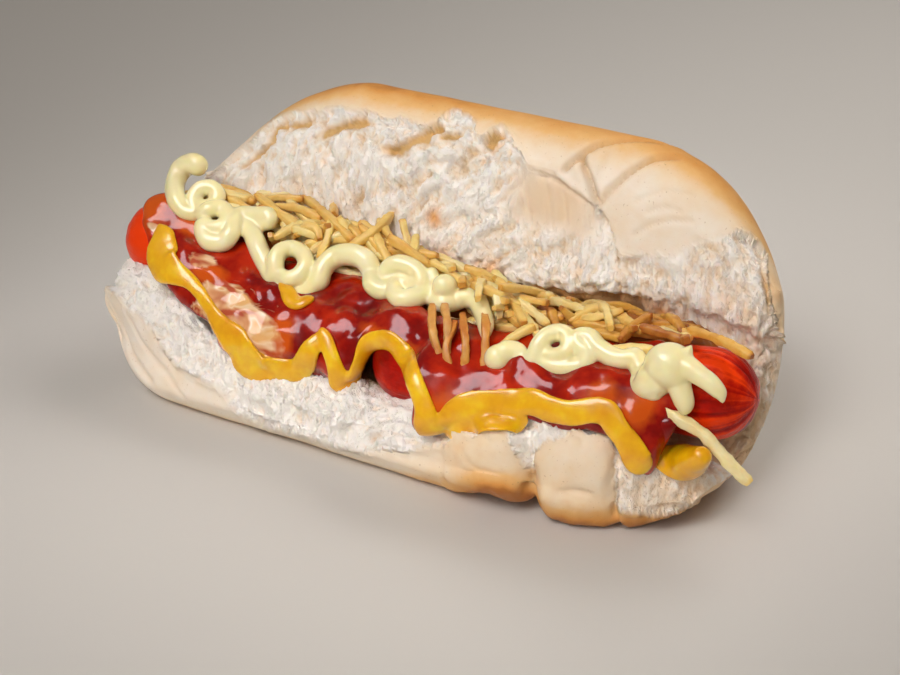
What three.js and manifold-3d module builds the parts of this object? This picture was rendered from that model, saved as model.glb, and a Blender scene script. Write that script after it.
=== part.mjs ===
// A loaded hot dog: two sausages end to end in a long soft bun that opens like a clam, under potato
// straws, ketchup, mustard and mayonnaise. Millimetres, +Z up, +X along the bun. The mouth faces -Y,
// the uncut hinge side faces +Y, and the origin lies on the flat underside.
import * as THREE from "three";
import { mergeVertices } from "three/addons/utils/BufferGeometryUtils.js";
import Module from "manifold-3d";

const wasm = await Module();
wasm.setup();

// ---------------------------------------------------------------- driving dimensions

const GAP = 0.35; // clearance left between two pieces that touch

// The bun: a section of named points [y, z], swept from end to end.
const BUN_LEFT = -98;
const BUN_RIGHT = 100;
const BUN_OUTSIDE = {
  lower_edge: [-39, 10],
  skin_front: [-39.5, 6],
  bottom_front: [-32, -0.6],
  bottom_middle: [-5, -0.8],
  bottom_back: [24, -0.6],
  back_low: [40, 13],
  hinge: [47, 33],
  back_high: [50, 56],
  shoulder: [45, 74],
  ridge: [34, 84],
  crust_edge: [22, 83],
};
const BUN_INSIDE = {
  torn_high: [14, 74],
  torn_middle: [10, 60],
  torn_low: [8, 48],
  upper_lip: [9, 40],
  slit_roof: [16, 33],
  slit_back: [20, 26],
  slit_floor: [14, 17.5],
  bed: [-3, 14],
  front_bed: [-19, 17.5],
  lower_lip: [-31, 20.5],
  torn_front: [-38, 15],
};
// How far [dy, dz] the named points move towards the left end, the right end and at the front lobe.
const LEFT_SHIFT = {
  lower_lip: [8, 15],
  torn_front: [4, 11],
  lower_edge: [3, 6],
  bed: [0, 6],
  front_bed: [3, 11],
  upper_lip: [2, 8],
  torn_low: [2, 6],
  slit_roof: [0, 8],
  torn_middle: [2, 4],
  torn_high: [2, 0],
};
const RIGHT_SHIFT = {
  upper_lip: [3, 10],
  torn_low: [1, 8],
  slit_roof: [-3, 9],
  slit_back: [-8, 5],
  slit_floor: [-4, 2],
  torn_middle: [0, 4],
};
const LOBE_SHIFT = {
  front_bed: [0, 4],
  lower_lip: [1, 9],
  torn_front: [0, 7],
  lower_edge: [0, 3],
  skin_front: [0, 2],
};
const LOBE_CENTRE = 54;
const LOBE_WIDTH = 24;
const LEFT_ROUND = 17; // how far in from each end the two faces draw together
const RIGHT_ROUND = 15;
const ROUNDNESS = 2.2;
const PIVOT_HEIGHT = 30; // what lies above this sinks towards the ends
const CRAG = 0.9; // depth of the torn crumb's relief
const FOLD = 1.4; // depth of the folds in the lower skin
const BUN_STEPS = 37;
const CHAIN_STEPS = 22; // steps along the outside, and as many along the inside

// The sausages: centre lines [x, y, z] and radii.
const SAUSAGE_RADIUS = 11.7;
const SAUSAGE_STEPS = 18;
const SAUSAGE_SIDES = 14;
const LEFT_SAUSAGE = [
  [-104, -7, 41],
  [-80, -7, 34],
  [-45, -5, 28],
  [-12, 2.5, 27],
  [14, 7, 27],
];
const RIGHT_SAUSAGE = [
  [-7, -18.5, 25],
  [15, -15.5, 26],
  [45, -10, 28],
  [74, -6, 32],
  [101, -5.5, 35.5],
];

// The filling's centre line, round which the sauces are piped: a place there is [x, degrees towards
// the front from straight up, distance from the centre line].
const FILLING = [
  [-104, -7, 41],
  [-80, -7, 34],
  [-45, -5, 28],
  [-20, -5, 27],
  [5, -14, 26],
  [45, -10, 28],
  [74, -6, 32],
  [99, -5.5, 35],
];

// The potato straws.
const STRAW_WIDTH = 2.1;
const STRAW_LENGTHS = [14, 32];
const STRAW_COUNT = 27;
const STRAW_SEED = 7;
const CORE_RADIUS = 8.5;
const CORE_ROUTE = [
  [-93, 8, 43],
  [-84, 7.5, 45],
  [-72, 7, 40],
  [-40, 6, 40],
  [-8, 4, 38],
  [24, 3, 34],
  [56, 4, 36],
  [84, 7, 38],
];
const LOOSE_STRAW = [
  [78, -20, 37],
  [93, -21.5, 31],
  [107, -22, 21],
];

// ---------------------------------------------------------------- helpers

const clamp01 = (t) => Math.min(1, Math.max(0, t));
const ramp = (from, to, x) => clamp01((x - from) / (to - from));
const smooth = (from, to, x) => {
  const t = ramp(from, to, x);
  return t * t * (3 - 2 * t);
};
const mix = (a, b, t) => a + (b - a) * t;

function randomFrom(seed) {
  let state = seed;
  return () => {
    state = (state + 0x6d2b79f5) | 0;
    let t = Math.imul(state ^ (state >>> 15), 1 | state);
    t = (t + Math.imul(t ^ (t >>> 7), 61 | t)) ^ t;
    return ((t ^ (t >>> 14)) >>> 0) / 4294967296;
  };
}

// A closed surface from rings of points; a ring of no size closes an end.
function surfaceOf(rings) {
  const sides = rings[0].length;
  const positions = rings.flat().flatMap((p) => [p.x, p.y, p.z]);
  const index = [];
  for (let i = 0; i + 1 < rings.length; i++) {
    for (let j = 0; j < sides; j++) {
      const a = i * sides + j;
      const b = i * sides + ((j + 1) % sides);
      index.push(a, b, b + sides, a, b + sides, a + sides);
    }
  }
  const geometry = new THREE.BufferGeometry();
  geometry.setAttribute("position", new THREE.Float32BufferAttribute(positions, 3));
  geometry.setIndex(index);
  return geometry;
}

// The shared-vertex form of a geometry, each vertex moved out by grow along its normal.
function welded(geometry, grow = 0) {
  const bare = geometry.clone();
  bare.deleteAttribute("normal");
  bare.deleteAttribute("uv");
  const merged = mergeVertices(bare, 1e-3);
  if (grow > 0) {
    merged.computeVertexNormals();
    const at = merged.attributes.position;
    const normal = merged.attributes.normal;
    for (let i = 0; i < at.count; i++) {
      at.setXYZ(
        i,
        at.getX(i) + grow * normal.getX(i),
        at.getY(i) + grow * normal.getY(i),
        at.getZ(i) + grow * normal.getZ(i),
      );
    }
    merged.deleteAttribute("normal");
  }
  return merged;
}

function solidOf(geometry, grow = 0) {
  const merged = welded(geometry, grow);
  const corners = merged.index.array;
  const triVerts = [];
  for (let i = 0; i < corners.length; i += 3) {
    const [a, b, c] = [corners[i], corners[i + 1], corners[i + 2]];
    if (a !== b && b !== c && c !== a) triVerts.push(a, b, c);
  }
  return new wasm.Manifold(
    new wasm.Mesh({
      numProp: 3,
      vertProperties: merged.attributes.position.array,
      triVerts: new Uint32Array(triVerts),
    }),
  );
}

const joined = (solids) => solids.reduce((all, next) => all.add(next));

function largestBody(solid) {
  return solid.decompose().reduce((best, body) => (body.volume() > best.volume() ? body : best));
}

function meshOf(name, solid, material) {
  const made = solid.getMesh();
  const geometry = new THREE.BufferGeometry();
  geometry.setAttribute("position", new THREE.BufferAttribute(made.vertProperties, 3));
  geometry.setIndex(new THREE.BufferAttribute(made.triVerts, 1));
  geometry.computeVertexNormals();
  const mesh = new THREE.Mesh(geometry, material);
  mesh.name = name;
  return mesh;
}

const curveOf = (points) =>
  new THREE.CatmullRomCurve3(points.map((p) => new THREE.Vector3(...p)));

// A rounded strand along a route: radiusAt(t) is its radius at the share t of its length.
function strand(points, radiusAt, { steps, sides, wrinkle = () => 0 }) {
  const curve = curveOf(points);
  const length = curve.getLength();
  const { normals, binormals } = curve.computeFrenetFrames(steps);
  const rings = [];
  for (let i = 0; i <= steps; i++) {
    const t = i / steps;
    const radius = radiusAt(t);
    const near = Math.min(t, 1 - t) * length;
    const round = Math.sqrt(1 - (1 - clamp01(near / radius)) ** 2);
    const centre = curve.getPointAt(t);
    const ring = [];
    for (let j = 0; j < sides; j++) {
      const angle = (2 * Math.PI * j) / sides;
      const r = radius * round * (1 + wrinkle(t, angle));
      ring.push(
        centre
          .clone()
          .addScaledVector(normals[i], r * Math.cos(angle))
          .addScaledVector(binormals[i], r * Math.sin(angle)),
      );
    }
    rings.push(ring);
  }
  return surfaceOf(rings);
}

function blob([x, y, z], [rx, ry, rz]) {
  return new THREE.SphereGeometry(1, 8, 6).scale(rx, ry, rz).translate(x, y, z);
}

// A place round the filling's centre line.
const fillingLine = curveOf(FILLING).getPoints(200);
function around([x, degrees, distance]) {
  const after = Math.max(1, fillingLine.findIndex((p) => p.x > x));
  const last = fillingLine.length - 1;
  const b = fillingLine[x > fillingLine[last].x ? last : after];
  const a = fillingLine[(x > fillingLine[last].x ? last : after) - 1];
  const t = (x - a.x) / (b.x - a.x);
  const angle = (degrees * Math.PI) / 180;
  return [
    x,
    mix(a.y, b.y, t) - distance * Math.sin(angle),
    mix(a.z, b.z, t) + distance * Math.cos(angle),
  ];
}

// ---------------------------------------------------------------- bun

function evenly(points, count) {
  const curve = new THREE.CatmullRomCurve3(points);
  return curve.getSpacedPoints(count);
}

// The section at x: the outside and the inside chain, each from the lower edge's end.
function bunChains(x) {
  const left = smooth(-40, -92, x);
  const right = smooth(30, 90, x);
  const lobe = Math.exp(-(((x - LOBE_CENTRE) / LOBE_WIDTH) ** 2));
  const named = { ...BUN_OUTSIDE, ...BUN_INSIDE };
  const points = Object.entries(named).map(([name, [y, z]]) => {
    const [ly, lz] = LEFT_SHIFT[name] ?? [0, 0];
    const [ry, rz] = RIGHT_SHIFT[name] ?? [0, 0];
    const [fy, fz] = LOBE_SHIFT[name] ?? [0, 0];
    return new THREE.Vector3(
      0,
      y + left * ly + right * ry + lobe * fy,
      z + left * lz + right * rz + lobe * fz,
    );
  });
  const closed = new THREE.CatmullRomCurve3(points, true, "catmullrom", 0.5);
  const finePerPoint = 10;
  const fine = closed.getPoints(points.length * finePerPoint);
  const cut = (Object.keys(BUN_OUTSIDE).length - 1) * finePerPoint;
  return {
    outside: evenly(fine.slice(0, cut + 1), CHAIN_STEPS),
    inside: evenly(fine.slice(cut), CHAIN_STEPS).reverse(),
  };
}

// The ends: the upper half sinks, the front and back draw in, and the underside lifts.
function drawnIn(x, { y, z }) {
  const sink = 0.6 * ramp(-38, -96, x) ** 1.7 + 0.5 * ramp(40, 100, x) ** 2.4;
  const back = 0.3 * ramp(55, 100, x) ** 2.2 + 0.3 * ramp(-55, -97, x) ** 2.2;
  const front = 0.42 * ramp(30, 100, x) ** 1.8 + 0.3 * ramp(-70, -97, x) ** 2;
  const lift = smooth(14, 0, z) * (6 * ramp(74, 100, x) ** 2 + 8 * ramp(-68, -97, x) ** 2);
  return new THREE.Vector3(
    x,
    y * (1 - (y > 0 ? back : front)),
    (z > PIVOT_HEIGHT ? PIVOT_HEIGHT + (z - PIVOT_HEIGHT) * (1 - sink) : z) + lift,
  );
}

// How far an end bulges: it is furthest out at half height, on the filling's line.
function bulge(x, y, z) {
  const low = Math.max(0, (35 - z) / 35);
  const high = Math.max(0, (z - 40) / 20);
  const right = ramp(60, 99, x) ** 2 * (10 * (y / 40) ** 2 + 9 * low ** 2 + 2 * high ** 2);
  const left = ramp(-60, -97, x) ** 2 * (6 * ((y + 20) / 50) ** 2 + 5 * low ** 2 + 5 * high);
  return left - right;
}

// Torn crumb: uneven ridges running from lip to crust.
function crumbRelief(x, along) {
  return (
    CRAG *
    (0.5 * Math.sin(0.43 * x + 2.1 * Math.sin(5.2 * along)) +
      0.3 * Math.sin(0.83 * x + 11 * along) +
      0.4 * Math.sin(0.19 * x - 17 * along))
  );
}

// The lower skin: soft folds across the front, the deepest one between the two right-hand lobes.
function skinFolds(x, y, z) {
  const front = smooth(-18, -34, y) * smooth(26, 12, z);
  const crease = Math.exp(-(((x - 45) / 3.5) ** 2)) * 3.2;
  return front * (FOLD * 0.5 * Math.sin(0.17 * x + 1.2) - crease);
}

function bunGeometry() {
  const rings = [];
  const capAt = (distance, size) =>
    (1 - (1 - clamp01(distance / size)) ** ROUNDNESS) ** (1 / ROUNDNESS);
  for (let i = 0; i <= BUN_STEPS; i++) {
    const t = i / BUN_STEPS;
    const share = mix(t, (1 - Math.cos(Math.PI * t)) / 2, 0.4);
    const x = mix(BUN_LEFT, BUN_RIGHT, share);
    const open = capAt(x - BUN_LEFT, LEFT_ROUND) * capAt(BUN_RIGHT - x, RIGHT_ROUND);
    const { outside, inside } = bunChains(x);
    const ring = { outside: [], inside: [] };
    for (let j = 0; j <= CHAIN_STEPS; j++) {
      const skin = drawnIn(x, outside[j]);
      const crumb = drawnIn(x, inside[j]);
      const middle = skin.clone().lerp(crumb, 0.5);
      const along = j / CHAIN_STEPS;
      const torn = crumbRelief(x, along) * Math.sin(Math.PI * along) ** 0.5;
      skin.y -= skinFolds(x, skin.y, skin.z);
      crumb.y -= torn * smooth(40, 52, crumb.z);
      crumb.z += torn * (1 - smooth(30, 44, crumb.z));
      for (const [chain, point] of [["outside", skin], ["inside", crumb]]) {
        const p = middle.clone().lerp(point, open);
        ring[chain].push(new THREE.Vector3(x + bulge(x, p.y, p.z), p.y, Math.max(0, p.z)));
      }
    }
    rings.push([...ring.outside, ...ring.inside.slice(1, -1).reverse()]);
  }
  return surfaceOf(rings);
}

// ---------------------------------------------------------------- filling

const sausageRadius = (t) => SAUSAGE_RADIUS * (1 + 0.02 * Math.sin(9 * t));

function sausageGeometry(route, pucker) {
  return strand(route, sausageRadius, {
    steps: SAUSAGE_STEPS,
    sides: SAUSAGE_SIDES,
    wrinkle: (t, angle) => pucker * 0.05 * smooth(0.9, 1, t) * Math.cos(10 * angle),
  });
}

// Ketchup: a blanket over the front of both sausages that runs down to the lower lip in places. Each
// row is a station: x, the degrees of its upper and lower edge, and the lower edge's distance.
const KETCHUP_STATIONS = [
  [-98, 5, 60, 12],
  [-92, -5, 78, 13],
  [-82, -8, 80, 15],
  [-70, -4, 92, 18],
  [-57, 4, 98, 23],
  [-46, 10, 102, 29],
  [-34, 4, 104, 28],
  [-22, -8, 88, 17],
  [-8, -14, 62, 13],
  [6, -10, 74, 13],
  [16, -6, 112, 26],
  [28, -4, 100, 22],
  [44, -4, 86, 20],
  [60, -4, 84, 20.5],
  [72, 4, 108, 23],
  [80, 20, 120, 24],
  [88, 50, 104, 14],
];
const KETCHUP_TOP = 12.5; // distance of the upper edge and the middle of the blanket
const KETCHUP_HALF = 2.4; // half the blanket's thickness
const KETCHUP_STEPS = 24;
const KETCHUP_ACROSS = 4;

function ketchupGeometry() {
  const upper = curveOf(KETCHUP_STATIONS.map(([x, top]) => [x, top, KETCHUP_TOP]));
  const lower = curveOf(KETCHUP_STATIONS.map(([x, , bottom, distance]) => [x, bottom, distance]));
  const rings = [];
  for (let i = 0; i <= KETCHUP_STEPS; i++) {
    const t = i / KETCHUP_STEPS;
    const high = upper.getPoint(t);
    const low = lower.getPoint(t);
    const open = Math.sin(Math.PI * t) ** 0.3;
    const face = (side) =>
      Array.from({ length: KETCHUP_ACROSS + 1 }, (_, j) => {
        const s = j / KETCHUP_ACROSS;
        const half = KETCHUP_HALF * open * (1 - (2 * s - 1) ** 4) ** 0.5;
        const lumps = 0.5 * Math.sin(0.31 * high.x + 5 * s) * open;
        const distance = mix(high.z, low.z, smooth(0.3, 1, s)) + lumps + side * half;
        const place = around([high.x, mix(high.y, low.y, s), distance]);
        return new THREE.Vector3(...place);
      });
    rings.push([...face(1), ...face(-1).slice(1, -1).reverse()]);
  }
  for (const end of [rings[0], rings[KETCHUP_STEPS]]) {
    const middle = end.reduce((sum, p) => sum.add(p), new THREE.Vector3()).divideScalar(end.length);
    end.forEach((p) => p.copy(middle));
  }
  return surfaceOf(rings);
}

// Mustard: one zigzag strand, with pools where it ran down to the lower lip.
const MUSTARD_RADIUS = 2.6;
const MUSTARD_ROUTE = [
  [-94, 44, 14],
  [-86, 62, 16],
  [-76, 78, 18],
  [-67, 88, 20],
  [-58, 97, 24],
  [-50, 105, 29],
  [-43, 108, 31],
  [-36, 107, 31],
  [-30, 100, 27],
  [-22, 82, 18],
  [-17, 92, 22],
  [-9, 108, 31],
  [-5, 96, 24],
  [0, 66, 15],
  [7, 54, 15],
  [13, 76, 17],
  [17, 98, 21],
  [21, 108, 26],
  [29, 98, 23],
  [44, 84, 20.5],
  [60, 82, 21.5],
  [70, 98, 23],
  [78, 114, 25],
  [87, 124, 25],
  [92, 116, 21],
];
const MUSTARD_POOLS = [
  { at: [-42, 109, 31], size: [8, 4.5, 5] },
  { at: [-9, 108, 30], size: [4, 3.5, 4] },
  { at: [22, 109, 27], size: [6, 4.5, 5] },
  { at: [50, 85, 20], size: [12, 4, 3] },
  { at: [87, 122, 24], size: [7, 4.5, 4.5] },
];

function mustardSolid(grow) {
  const run = strand(MUSTARD_ROUTE.map(around), () => MUSTARD_RADIUS, { steps: 50, sides: 6 });
  const pools = MUSTARD_POOLS.map(({ at, size }) => blob(around(at), size));
  return joined([run, ...pools].map((geometry) => solidOf(geometry, grow)));
}

// Mayonnaise: piped along the line between straws and ketchup in loops of uneven size, ending in a
// star-shaped dollop.
const MAYO_RADIUS = 2.85;
const MAYO_ROUTE = [
  [-85, -33, 25.5],
  [-89, -26, 26],
  [-93, -25, 17],
  [-88, -14, 15.5],
  [-78, -16, 17],
  [-81, -30, 21],
  [-85, -26, 18.5],
  [-81, -14, 15.5],
  [-72, -3, 14.5],
  [-69, -14, 16.5],
  [-76, -24, 17],
  [-76, -6, 14.5],
  [-68, 12, 14.5],
  [-65, 2, 14.5],
  [-67, -24, 18.5],
  [-59, -27, 20.5],
  [-62, -15, 17.5],
  [-55, 6, 15],
  [-47, 29, 15],
  [-41, 36, 15.5],
  [-37, 22, 15.5],
  [-42, -2, 16.5],
  [-47, 14, 15.5],
  [-40, 42, 15.5],
  [-31, 34, 15.5],
  [-29, 2, 16],
  [-24, -6, 16.5],
  [-14, 6, 16],
  [-9, -14, 17],
  [-14, -22, 18],
  [-13, -2, 16],
  [-4, -2, 16],
  [3, -20, 17],
  [9, -22, 19],
  [14, -8, 18],
  [24, 14, 16],
  [29, 34, 15.5],
  [35, 46, 15.5],
  [43, 44, 15.5],
  [47, 16, 15.5],
  [50, 38, 15.5],
  [57, 34, 15.5],
  [64, 46, 15.5],
  [73, 44, 15.5],
  [82, 52, 15.5],
];
const MAYO_BALL = { at: [35, 46, 15.5], radius: 4 };
const MAYO_DOLLOP = {
  at: [82, 50, 16],
  radius: 6,
  arms: [
    [97, 66, 15],
    [84, 18, 16.5],
    [75, 72, 15],
    [88, 92, 16],
  ],
};

function mayoSolid(grow) {
  const piped = strand(MAYO_ROUTE.map(around), () => MAYO_RADIUS, { steps: 86, sides: 6 });
  const centre = around(MAYO_DOLLOP.at);
  const arms = MAYO_DOLLOP.arms.map((tip) =>
    strand([centre, around(tip)], (t) => mix(4.6, 1.6, t), { steps: 3, sides: 6 }),
  );
  const ball = blob(around(MAYO_BALL.at), Array(3).fill(MAYO_BALL.radius));
  const dollop = blob(centre, Array(3).fill(MAYO_DOLLOP.radius));
  return joined([piped, ball, dollop, ...arms].map((geometry) => solidOf(geometry, grow)));
}

// ---------------------------------------------------------------- potato straws

function strawGeometry(points) {
  const half = STRAW_WIDTH / 2;
  const square = new THREE.Shape([
    new THREE.Vector2(-half, -half),
    new THREE.Vector2(half, -half),
    new THREE.Vector2(half, half),
    new THREE.Vector2(-half, half),
  ]);
  return new THREE.ExtrudeGeometry(square, { steps: 2, extrudePath: curveOf(points) });
}

// The heap's core, uneven, filling the slit behind the sausages.
function coreSolid(grow) {
  const lumpy = (t) => CORE_RADIUS * (1 + 0.07 * Math.sin(31 * t) + 0.05 * Math.sin(57 * t));
  return solidOf(strand(CORE_ROUTE, lumpy, { steps: 22, sides: 9 }), grow);
}

// Straws strewn over the core; one that would cross another piece is skipped.
function strewnStraws(core, taken) {
  const random = randomFrom(STRAW_SEED);
  const line = curveOf(CORE_ROUTE);
  const kept = [];
  for (let i = 0; i < STRAW_COUNT * 6 && kept.length < STRAW_COUNT; i++) {
    const centre = line.getPointAt(mix(0.07, 0.97, random()));
    const lean = mix(-0.6, 1, random());
    const out = new THREE.Vector3(0, -Math.sin(lean), Math.cos(lean));
    const turn = mix(-1.2, 1.2, random());
    const rise = mix(-0.3, 0.8, random());
    const along = new THREE.Vector3(Math.cos(turn), 0.8 * Math.sin(turn), rise).normalize();
    const length = mix(...STRAW_LENGTHS, random());
    const middle = centre.addScaledVector(out, CORE_RADIUS * mix(0.9, 1.15, random()));
    const bow = mix(-2, 2, random());
    const straw = solidOf(
      strawGeometry(
        [-0.5, 0, 0.5].map((s) => {
          const p = middle.clone().addScaledVector(along, s * length);
          p.z += bow * (0.25 - s * s) * 4;
          return p.toArray();
        }),
      ),
    );
    const holds = straw.intersect(core).volume() > STRAW_WIDTH ** 2;
    if (holds && straw.intersect(taken).volume() < 1e-6) kept.push(straw);
  }
  return kept;
}

// ---------------------------------------------------------------- the hot dog

const bunShape = bunGeometry();
const sausageShapes = [sausageGeometry(LEFT_SAUSAGE, 0), sausageGeometry(RIGHT_SAUSAGE, 1)];
const [leftSausage, rightSausage] = sausageShapes.map((shape) => solidOf(shape));
const sausageRoom = joined(sausageShapes.map((shape) => solidOf(shape, GAP)));

const rightAlone = rightSausage.subtract(solidOf(sausageShapes[0], GAP));
const bun = largestBody(solidOf(bunShape).subtract(sausageRoom));
const solidRoom = sausageRoom.add(solidOf(bunShape, GAP));

const core = largestBody(coreSolid(0).subtract(solidRoom));
const coreRoom = coreSolid(GAP).add(solidRoom);

const looseShape = strawGeometry(LOOSE_STRAW);
const looseStraw = solidOf(looseShape);
const looseRoom = solidOf(looseShape, GAP).add(coreRoom);

const mayo = largestBody(mayoSolid(0).subtract(looseRoom));
const mayoRoom = mayoSolid(GAP).add(looseRoom);

const mustard = largestBody(mustardSolid(0).subtract(mayoRoom));
const mustardRoom = mustardSolid(GAP).add(mayoRoom);

const ketchupShape = ketchupGeometry();
const ketchup = largestBody(solidOf(ketchupShape).subtract(mustardRoom));

const sauceRoom = joined([
  mayoSolid(GAP),
  mustardSolid(GAP),
  solidOf(ketchupShape, GAP),
  solidOf(looseShape, GAP),
]);
const straws = largestBody(joined([core, ...strewnStraws(core, solidRoom.add(sauceRoom))]));

const plain = (color, roughness) => new THREE.MeshStandardMaterial({ color, roughness, metalness: 0 });
const breadMaterial = plain(0xe9dcc6, 0.75);
const sausageMaterial = plain(0xb8281a, 0.3);
const strawMaterial = plain(0xd8a850, 0.6);

const hotDog = new THREE.Group();
hotDog.add(
  meshOf("bun", bun, breadMaterial),
  meshOf("sausage_left", leftSausage, sausageMaterial),
  meshOf("sausage_right", largestBody(rightAlone), sausageMaterial),
  meshOf("potato_straws", straws, strawMaterial),
  meshOf("straw_loose", looseStraw, strawMaterial),
  meshOf("ketchup", ketchup, plain(0xa01410, 0.2)),
  meshOf("mustard", mustard, plain(0xdc9a10, 0.3)),
  meshOf("mayonnaise", mayo, plain(0xeee6c0, 0.35)),
);

export default hotDog;
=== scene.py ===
# A loaded hot dog: two sausages end to end in a soft bun that opens like a clam, under potato straws,
# ketchup, mustard and mayonnaise. Sizes are in millimetres, and MM turns a finished mesh to metres.
import math

import bmesh
import bpy
import numpy as np
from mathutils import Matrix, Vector, noise
from mathutils.bvhtree import BVHTree


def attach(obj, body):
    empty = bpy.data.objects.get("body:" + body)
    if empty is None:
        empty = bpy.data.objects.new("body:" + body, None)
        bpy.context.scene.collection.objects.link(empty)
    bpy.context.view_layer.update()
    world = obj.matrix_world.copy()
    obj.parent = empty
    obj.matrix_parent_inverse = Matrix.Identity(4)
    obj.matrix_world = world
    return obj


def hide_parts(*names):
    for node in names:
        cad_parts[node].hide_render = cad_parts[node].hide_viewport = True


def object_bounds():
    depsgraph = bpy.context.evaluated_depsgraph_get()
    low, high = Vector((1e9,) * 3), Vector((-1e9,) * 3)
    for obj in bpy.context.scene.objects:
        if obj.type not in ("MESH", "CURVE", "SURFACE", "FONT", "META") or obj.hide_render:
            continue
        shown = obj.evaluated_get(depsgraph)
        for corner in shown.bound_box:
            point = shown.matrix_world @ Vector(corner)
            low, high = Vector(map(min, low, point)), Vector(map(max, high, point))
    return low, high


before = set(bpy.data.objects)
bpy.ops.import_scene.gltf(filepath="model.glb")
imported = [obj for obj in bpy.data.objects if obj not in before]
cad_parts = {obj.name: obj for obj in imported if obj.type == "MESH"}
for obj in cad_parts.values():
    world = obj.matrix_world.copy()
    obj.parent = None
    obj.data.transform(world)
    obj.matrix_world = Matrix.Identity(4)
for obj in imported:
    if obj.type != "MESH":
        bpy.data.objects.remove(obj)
cad_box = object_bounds()

MM = 0.001

# ------------------------------------------------------------------ camera
# A short telephoto lens, held to the right of the hot dog's mouth and a little above it.
CAMERA_AZIMUTH = 31
CAMERA_ELEVATION = 27
CAMERA_DISTANCE = 500
CAMERA_TARGET = (6, 0, 26)


def direction_from(azimuth, elevation):
    """The way to a thing that stands at this azimuth and elevation, 0 being in front of the mouth."""
    a, e = math.radians(azimuth), math.radians(elevation)
    return Vector((math.sin(a) * math.cos(e), -math.cos(a) * math.cos(e), math.sin(e)))


def new_object(name, data):
    made = bpy.data.objects.new(name, data)
    bpy.context.scene.collection.objects.link(made)
    return made


def aimed(name, data, azimuth, elevation, distance, target=CAMERA_TARGET):
    """A camera or a light that stands at a distance from the target and faces it."""
    away = direction_from(azimuth, elevation)
    made = new_object(name, data)
    made.location = (Vector(target) + away * distance) * MM
    made.rotation_euler = (-away).to_track_quat("-Z", "Y").to_euler()
    return made


lens = bpy.data.cameras.new("lens")
lens.lens = 70
lens.sensor_width = 36
lens.clip_start, lens.clip_end = 0.01, 20
bpy.context.scene.camera = aimed("camera", lens, CAMERA_AZIMUTH, CAMERA_ELEVATION, CAMERA_DISTANCE)

# ------------------------------------------------------------------ bun
# A long soft milk bun, torn open along the front and hinged at the back: thin golden skin over white
# crumb. One closed mesh: a section of named points is swept from end to end, then the torn faces get
# their fibrous relief, the skin its folds, and the edge between the two a raised, ragged rim.
BUN_ENDS = (-98, 100, 17, 15, 2.2)  # from x to x, how long either round end is, how square both are
BUN_SIZE = 32  # its half height, by which its stations are spaced round the ends
BUN_STATIONS = 326
CHAIN_STEPS = 150
# The section's points [y, z] in the middle, outside up to the crust edge and then inside, and after each
# how far it has moved at the left end, at the right end and at the front's lobes.
BUN_SECTION = {
    "lower_edge": [(-39, 10), (3, 6), (0, 0), (0, 3)],
    "skin_front": [(-39.5, 6), (0, 0), (0, 0), (0, 2)],
    "bottom_front": [(-32, -0.6)],
    "bottom_middle": [(-5, -0.8)],
    "bottom_back": [(24, -0.6)],
    "back_low": [(40, 13)],
    "hinge": [(47, 33)],
    "back_high": [(50, 56)],
    "shoulder": [(45, 74)],
    "ridge": [(34, 84)],
    "crust_edge": [(22, 83)],
    "torn_high": [(14, 74), (2, 0)],
    "torn_middle": [(10, 60), (2, 4), (0, 4)],
    "torn_low": [(8, 48), (2, 6), (1, 8)],
    "upper_lip": [(9, 40), (2, 8), (3, 10)],
    "slit_roof": [(16, 33), (0, 8), (-6, 8)],
    "slit_back": [(20, 26), (0, 0), (-12, 6)],
    "slit_floor": [(14, 17.5), (0, 0), (-4, 2)],
    "bed": [(-3, 14), (0, 6)],
    "front_bed": [(-19, 17.5), (3, 11), (0, 0), (0, 4)],
    "lower_lip": [(-31, 20.5), (8, 15), (0, 0), (1, 9)],
    "torn_front": [(-38, 15), (4, 11), (0, 0), (0, 7)],
}
LOBE_CENTRE, LOBE_WIDTH = 54, 24
NOTCHES = [(52.5, 2.8, 4.5), (77, 2.2, 2.4), (41, 11, 3.6)]  # under the front: [x, width, depth]
# Where the skin ends. Above: [x, how far below the crust edge, over the ridge being negative]. Below:
# [x, how far above the lower edge, under the bun being negative].
SKIN_EDGE_ABOVE = [
    (-100, 9), (-86, 7.5), (-76, 5), (-70, 1.5), (-55, 4), (-46, 5), (-28, 4.2), (-18, 4.5), (-11, 4.5),
    (-8, -4), (-3, -3), (4, 4.5), (9, -1), (15, 3.2), (22, 9.3), (27, 10.4), (37.5, 13), (46, 16.5),
    (50, 21), (53, 28), (59, 26), (65, 24), (71, 20), (76, 14), (84, 4), (86, -1), (92, -5), (94.5, -6),
    (96.5, 2), (98, 14), (100, 40),
]
SKIN_EDGE_BELOW = [
    (-98, 14), (-85, 8), (-80, 9.5), (-74, 8.6), (-69, 4.5), (-65, 1.6), (-57, 1.8), (-49, 2.2), (-43, -1),
    (-34, -7), (-25, -5.3), (-7, -4.6), (2, -2.5), (13, 0.3), (19, 3.2), (24, 6), (31, 10.8), (39, 12.6),
    (45, 12.5), (48.5, 9), (50.5, 2.4), (52.5, 1.6), (54, 9), (56, 12.5), (63, 14.7), (70, 16.9),
    (73.5, 10.4), (76, 2.5), (78, -4), (85, -7.4), (96, -11.6), (100, -13.4),
]
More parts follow.
